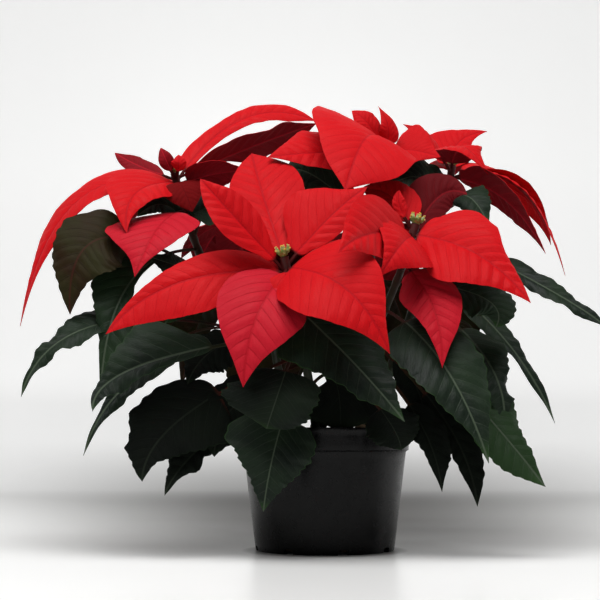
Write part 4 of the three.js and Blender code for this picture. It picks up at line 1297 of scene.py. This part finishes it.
def sweep_finish(settings):
    """Painted shadow dims it behind and beside the pot; it is brighter in front, where that shadow ends,
    and a painted glow brightens it towards the sides and up the backdrop.
    """
    finish = Finish("studio_sweep", Emission_Color=(1, 1, 1, 1))
    x, y, z = finish.axes(finish.place())
    # Painted shadow of the plant: strongest on the floor round the pot, fading up the backdrop and far
    # behind.
    far = finish.times(finish.span(z, 0, 0.16, 1, 0), finish.span(y, 0.9, 2.2, 1, 0.5))
    far = finish.most(far, finish.span(z, 0.05, 0.5, 0.15, 0))
    deep_shade = finish.times(far, finish.span(y, 0, 0.5, 0.62, 0.92))
    painted_shadow = finish.times(finish.span(y, -0.16, 0.10), deep_shade)
    # The shade widens with distance, as lines of sight do.
    aside = finish.calc("DIVIDE", finish.calc("SUBTRACT", x, 0.02), finish.plus(y, -LENS_POINT[1]))
    aside = finish.calc("ABSOLUTE", aside)
    shade = finish.times(painted_shadow, finish.span(aside, 0.04, 0.33, 0.95, 0))
    from_axis = finish.calc("SQRT", finish.plus(finish.times(x, x), finish.times(y, y)))
    # A painted contact shadow in a ring round the pot's foot.
    shade = finish.most(shade, finish.span(from_axis, 0.066, 0.092, 0.8, 0))
    finish.paint(finish.mix(shade, settings.floor, PAINTED_SHADOW_TINT), finish.plus(0.3, finish.times(painted_shadow, 0.5)))
    glint = finish.calc("SUBTRACT", 0.24, finish.times(painted_shadow, 0.22))
    finish.feed(finish.shader.inputs["Specular IOR Level"], glint)
    # Painted glow: emission brightens the backdrop upwards and the floor towards its sides, less under the
    # painted shadow.
    wall = finish.most(finish.span(z, -0.03, 0.30, 0, 0.49), finish.span(y, 0.7, 2.2, 0, 0.40))
    flank = finish.times(finish.span(aside, 0.10, 0.34, 0, 0.13), finish.span(y, 0, 1.2, 0.25, 1))
    glow = finish.times(finish.most(wall, flank), finish.calc("SUBTRACT", 1.0, shade))
    finish.feed(finish.shader.inputs["Emission Strength"], glow)
    return finish.material


def area_light(name, stand, target, size, power):
    data = bpy.data.lights.new(name, "AREA")
    data.shape, data.size, data.size_y, data.energy = "RECTANGLE", size[0], size[1], power
    made = bpy.data.objects.new(name, data)
    bpy.context.scene.collection.objects.link(made)
    made.location = stand
    made.rotation_euler = (Vector(target) - Vector(stand)).to_track_quat("-Z", "Y").to_euler()


def draw_studio(settings):
    """A pale floor that sweeps up behind the plant, soft lights and the camera."""
    scene = bpy.context.scene
    floor = bpy.data.objects.new("studio_floor", sweep_mesh())
    scene.collection.objects.link(floor)
    floor.data.materials.append(sweep_finish(settings))

    area_light("key", (-0.15, -0.75, 1.75), (0, 0, 0.2), (1.6, 1.1), settings.key)
    area_light("front", (-0.7, -2.2, 0.9), (0, 0, 0.25), (1.6, 1.4), settings.fill)
    area_light("edge_right", (1.3, 0.25, 0.55), (0, 0, 0.2), (0.5, 1.1), settings.edge)
    area_light("edge_left", (-1.4, 0.35, 0.7), (0, 0, 0.2), (0.5, 1.1), settings.edge * 0.6)

    scene.world = bpy.data.worlds.new("studio_air")
    scene.world.use_nodes = True
    air = scene.world.node_tree.nodes["Background"].inputs
    air["Color"].default_value = (1, 1, 1, 1)
    air["Strength"].default_value = settings.air
    scene.view_settings.view_transform = "Standard"

    lens = bpy.data.cameras.new("camera")
    lens.sensor_width = 36
    lens.lens = settings.lens
    lens.clip_start, lens.clip_end = 0.05, 50
    scene.camera = bpy.data.objects.new("camera", lens)
    scene.collection.objects.link(scene.camera)
    scene.camera.location = LENS_POINT
    scene.camera.rotation_euler = (math.pi / 2 + settings.tilt, 0, 0)


# ---- operators and panel -------------------------------------------------------------------------


class POINSETTIA_OT_studio(bpy.types.Operator):
    """Add the pale floor, the soft lights and the camera"""

    bl_idname = "poinsettia.studio"
    bl_label = "Studio"

    def execute(self, context):
        draw_studio(context.scene.poinsettia_studio)
        return {"FINISHED"}


class POINSETTIA_OT_pot(bpy.types.Operator):
    """Add the moulded nursery pot with its rim band and drain notches"""

    bl_idname = "poinsettia.pot"
    bl_label = "Pot"

    def execute(self, context):
        draw_pot(context.scene.poinsettia_pot)
        return {"FINISHED"}


class POINSETTIA_OT_peat(bpy.types.Operator):
    """Add the peat with its crumbs and white grains"""

    bl_idname = "poinsettia.peat"
    bl_label = "Peat"

    def execute(self, context):
        draw_peat(context.scene.poinsettia_peat)
        return {"FINISHED"}


class POINSETTIA_OT_plants(bpy.types.Operator):
    """Add the three trunks with their stems and green leaves"""

    bl_idname = "poinsettia.plants"
    bl_label = "Leafy stems"

    def execute(self, context):
        draw_plants(context.scene.poinsettia_blades)
        return {"FINISHED"}


class POINSETTIA_OT_heads(bpy.types.Operator):
    """Add the seven heads of red bracts"""

    bl_idname = "poinsettia.heads"
    bl_label = "Bract heads"

    def execute(self, context):
        draw_heads(context.scene.poinsettia_blades)
        return {"FINISHED"}


class POINSETTIA_OT_cups(bpy.types.Operator):
    """Add the flower cups in the middle of each head"""

    bl_idname = "poinsettia.cups"
    bl_label = "Flower cups"

    def execute(self, context):
        draw_clusters(context.scene.poinsettia_cups)
        return {"FINISHED"}


class POINSETTIA_PT_panel(bpy.types.Panel):
    """Lists the poinsettia's pieces and their sizes"""

    bl_label = "Potted poinsettia"
    bl_idname = "POINSETTIA_PT_panel"
    bl_space_type = "VIEW_3D"
    bl_region_type = "UI"
    bl_category = "Poinsettia"

    def draw(self, context):
        for operator, group in STEPS:
            box = self.layout.box()
            box.operator(operator.bl_idname)
            settings = getattr(context.scene, group)
            for name in settings.__annotations__:
                box.prop(settings, name)


STEPS = (
    (POINSETTIA_OT_studio, "poinsettia_studio"),
    (POINSETTIA_OT_pot, "poinsettia_pot"),
    (POINSETTIA_OT_peat, "poinsettia_peat"),
    (POINSETTIA_OT_plants, "poinsettia_blades"),
    (POINSETTIA_OT_heads, "poinsettia_blades"),
    (POINSETTIA_OT_cups, "poinsettia_cups"),
)
CLASSES = (*SETTINGS.values(), *(operator for operator, _ in STEPS), POINSETTIA_PT_panel)


def register():
    for made in CLASSES:
        bpy.utils.register_class(made)
    for name, group in SETTINGS.items():
        setattr(bpy.types.Scene, name, bpy.props.PointerProperty(type=group))


def unregister():
    for name in SETTINGS:
        delattr(bpy.types.Scene, name)
    for made in reversed(CLASSES):
        bpy.utils.unregister_class(made)


def main():
    register()
    bpy.ops.poinsettia.studio()
    bpy.ops.poinsettia.pot()
    bpy.ops.poinsettia.peat()
    bpy.ops.poinsettia.plants()
    bpy.ops.poinsettia.heads()
    bpy.ops.poinsettia.cups()


if __name__ == "__main__":
    main()
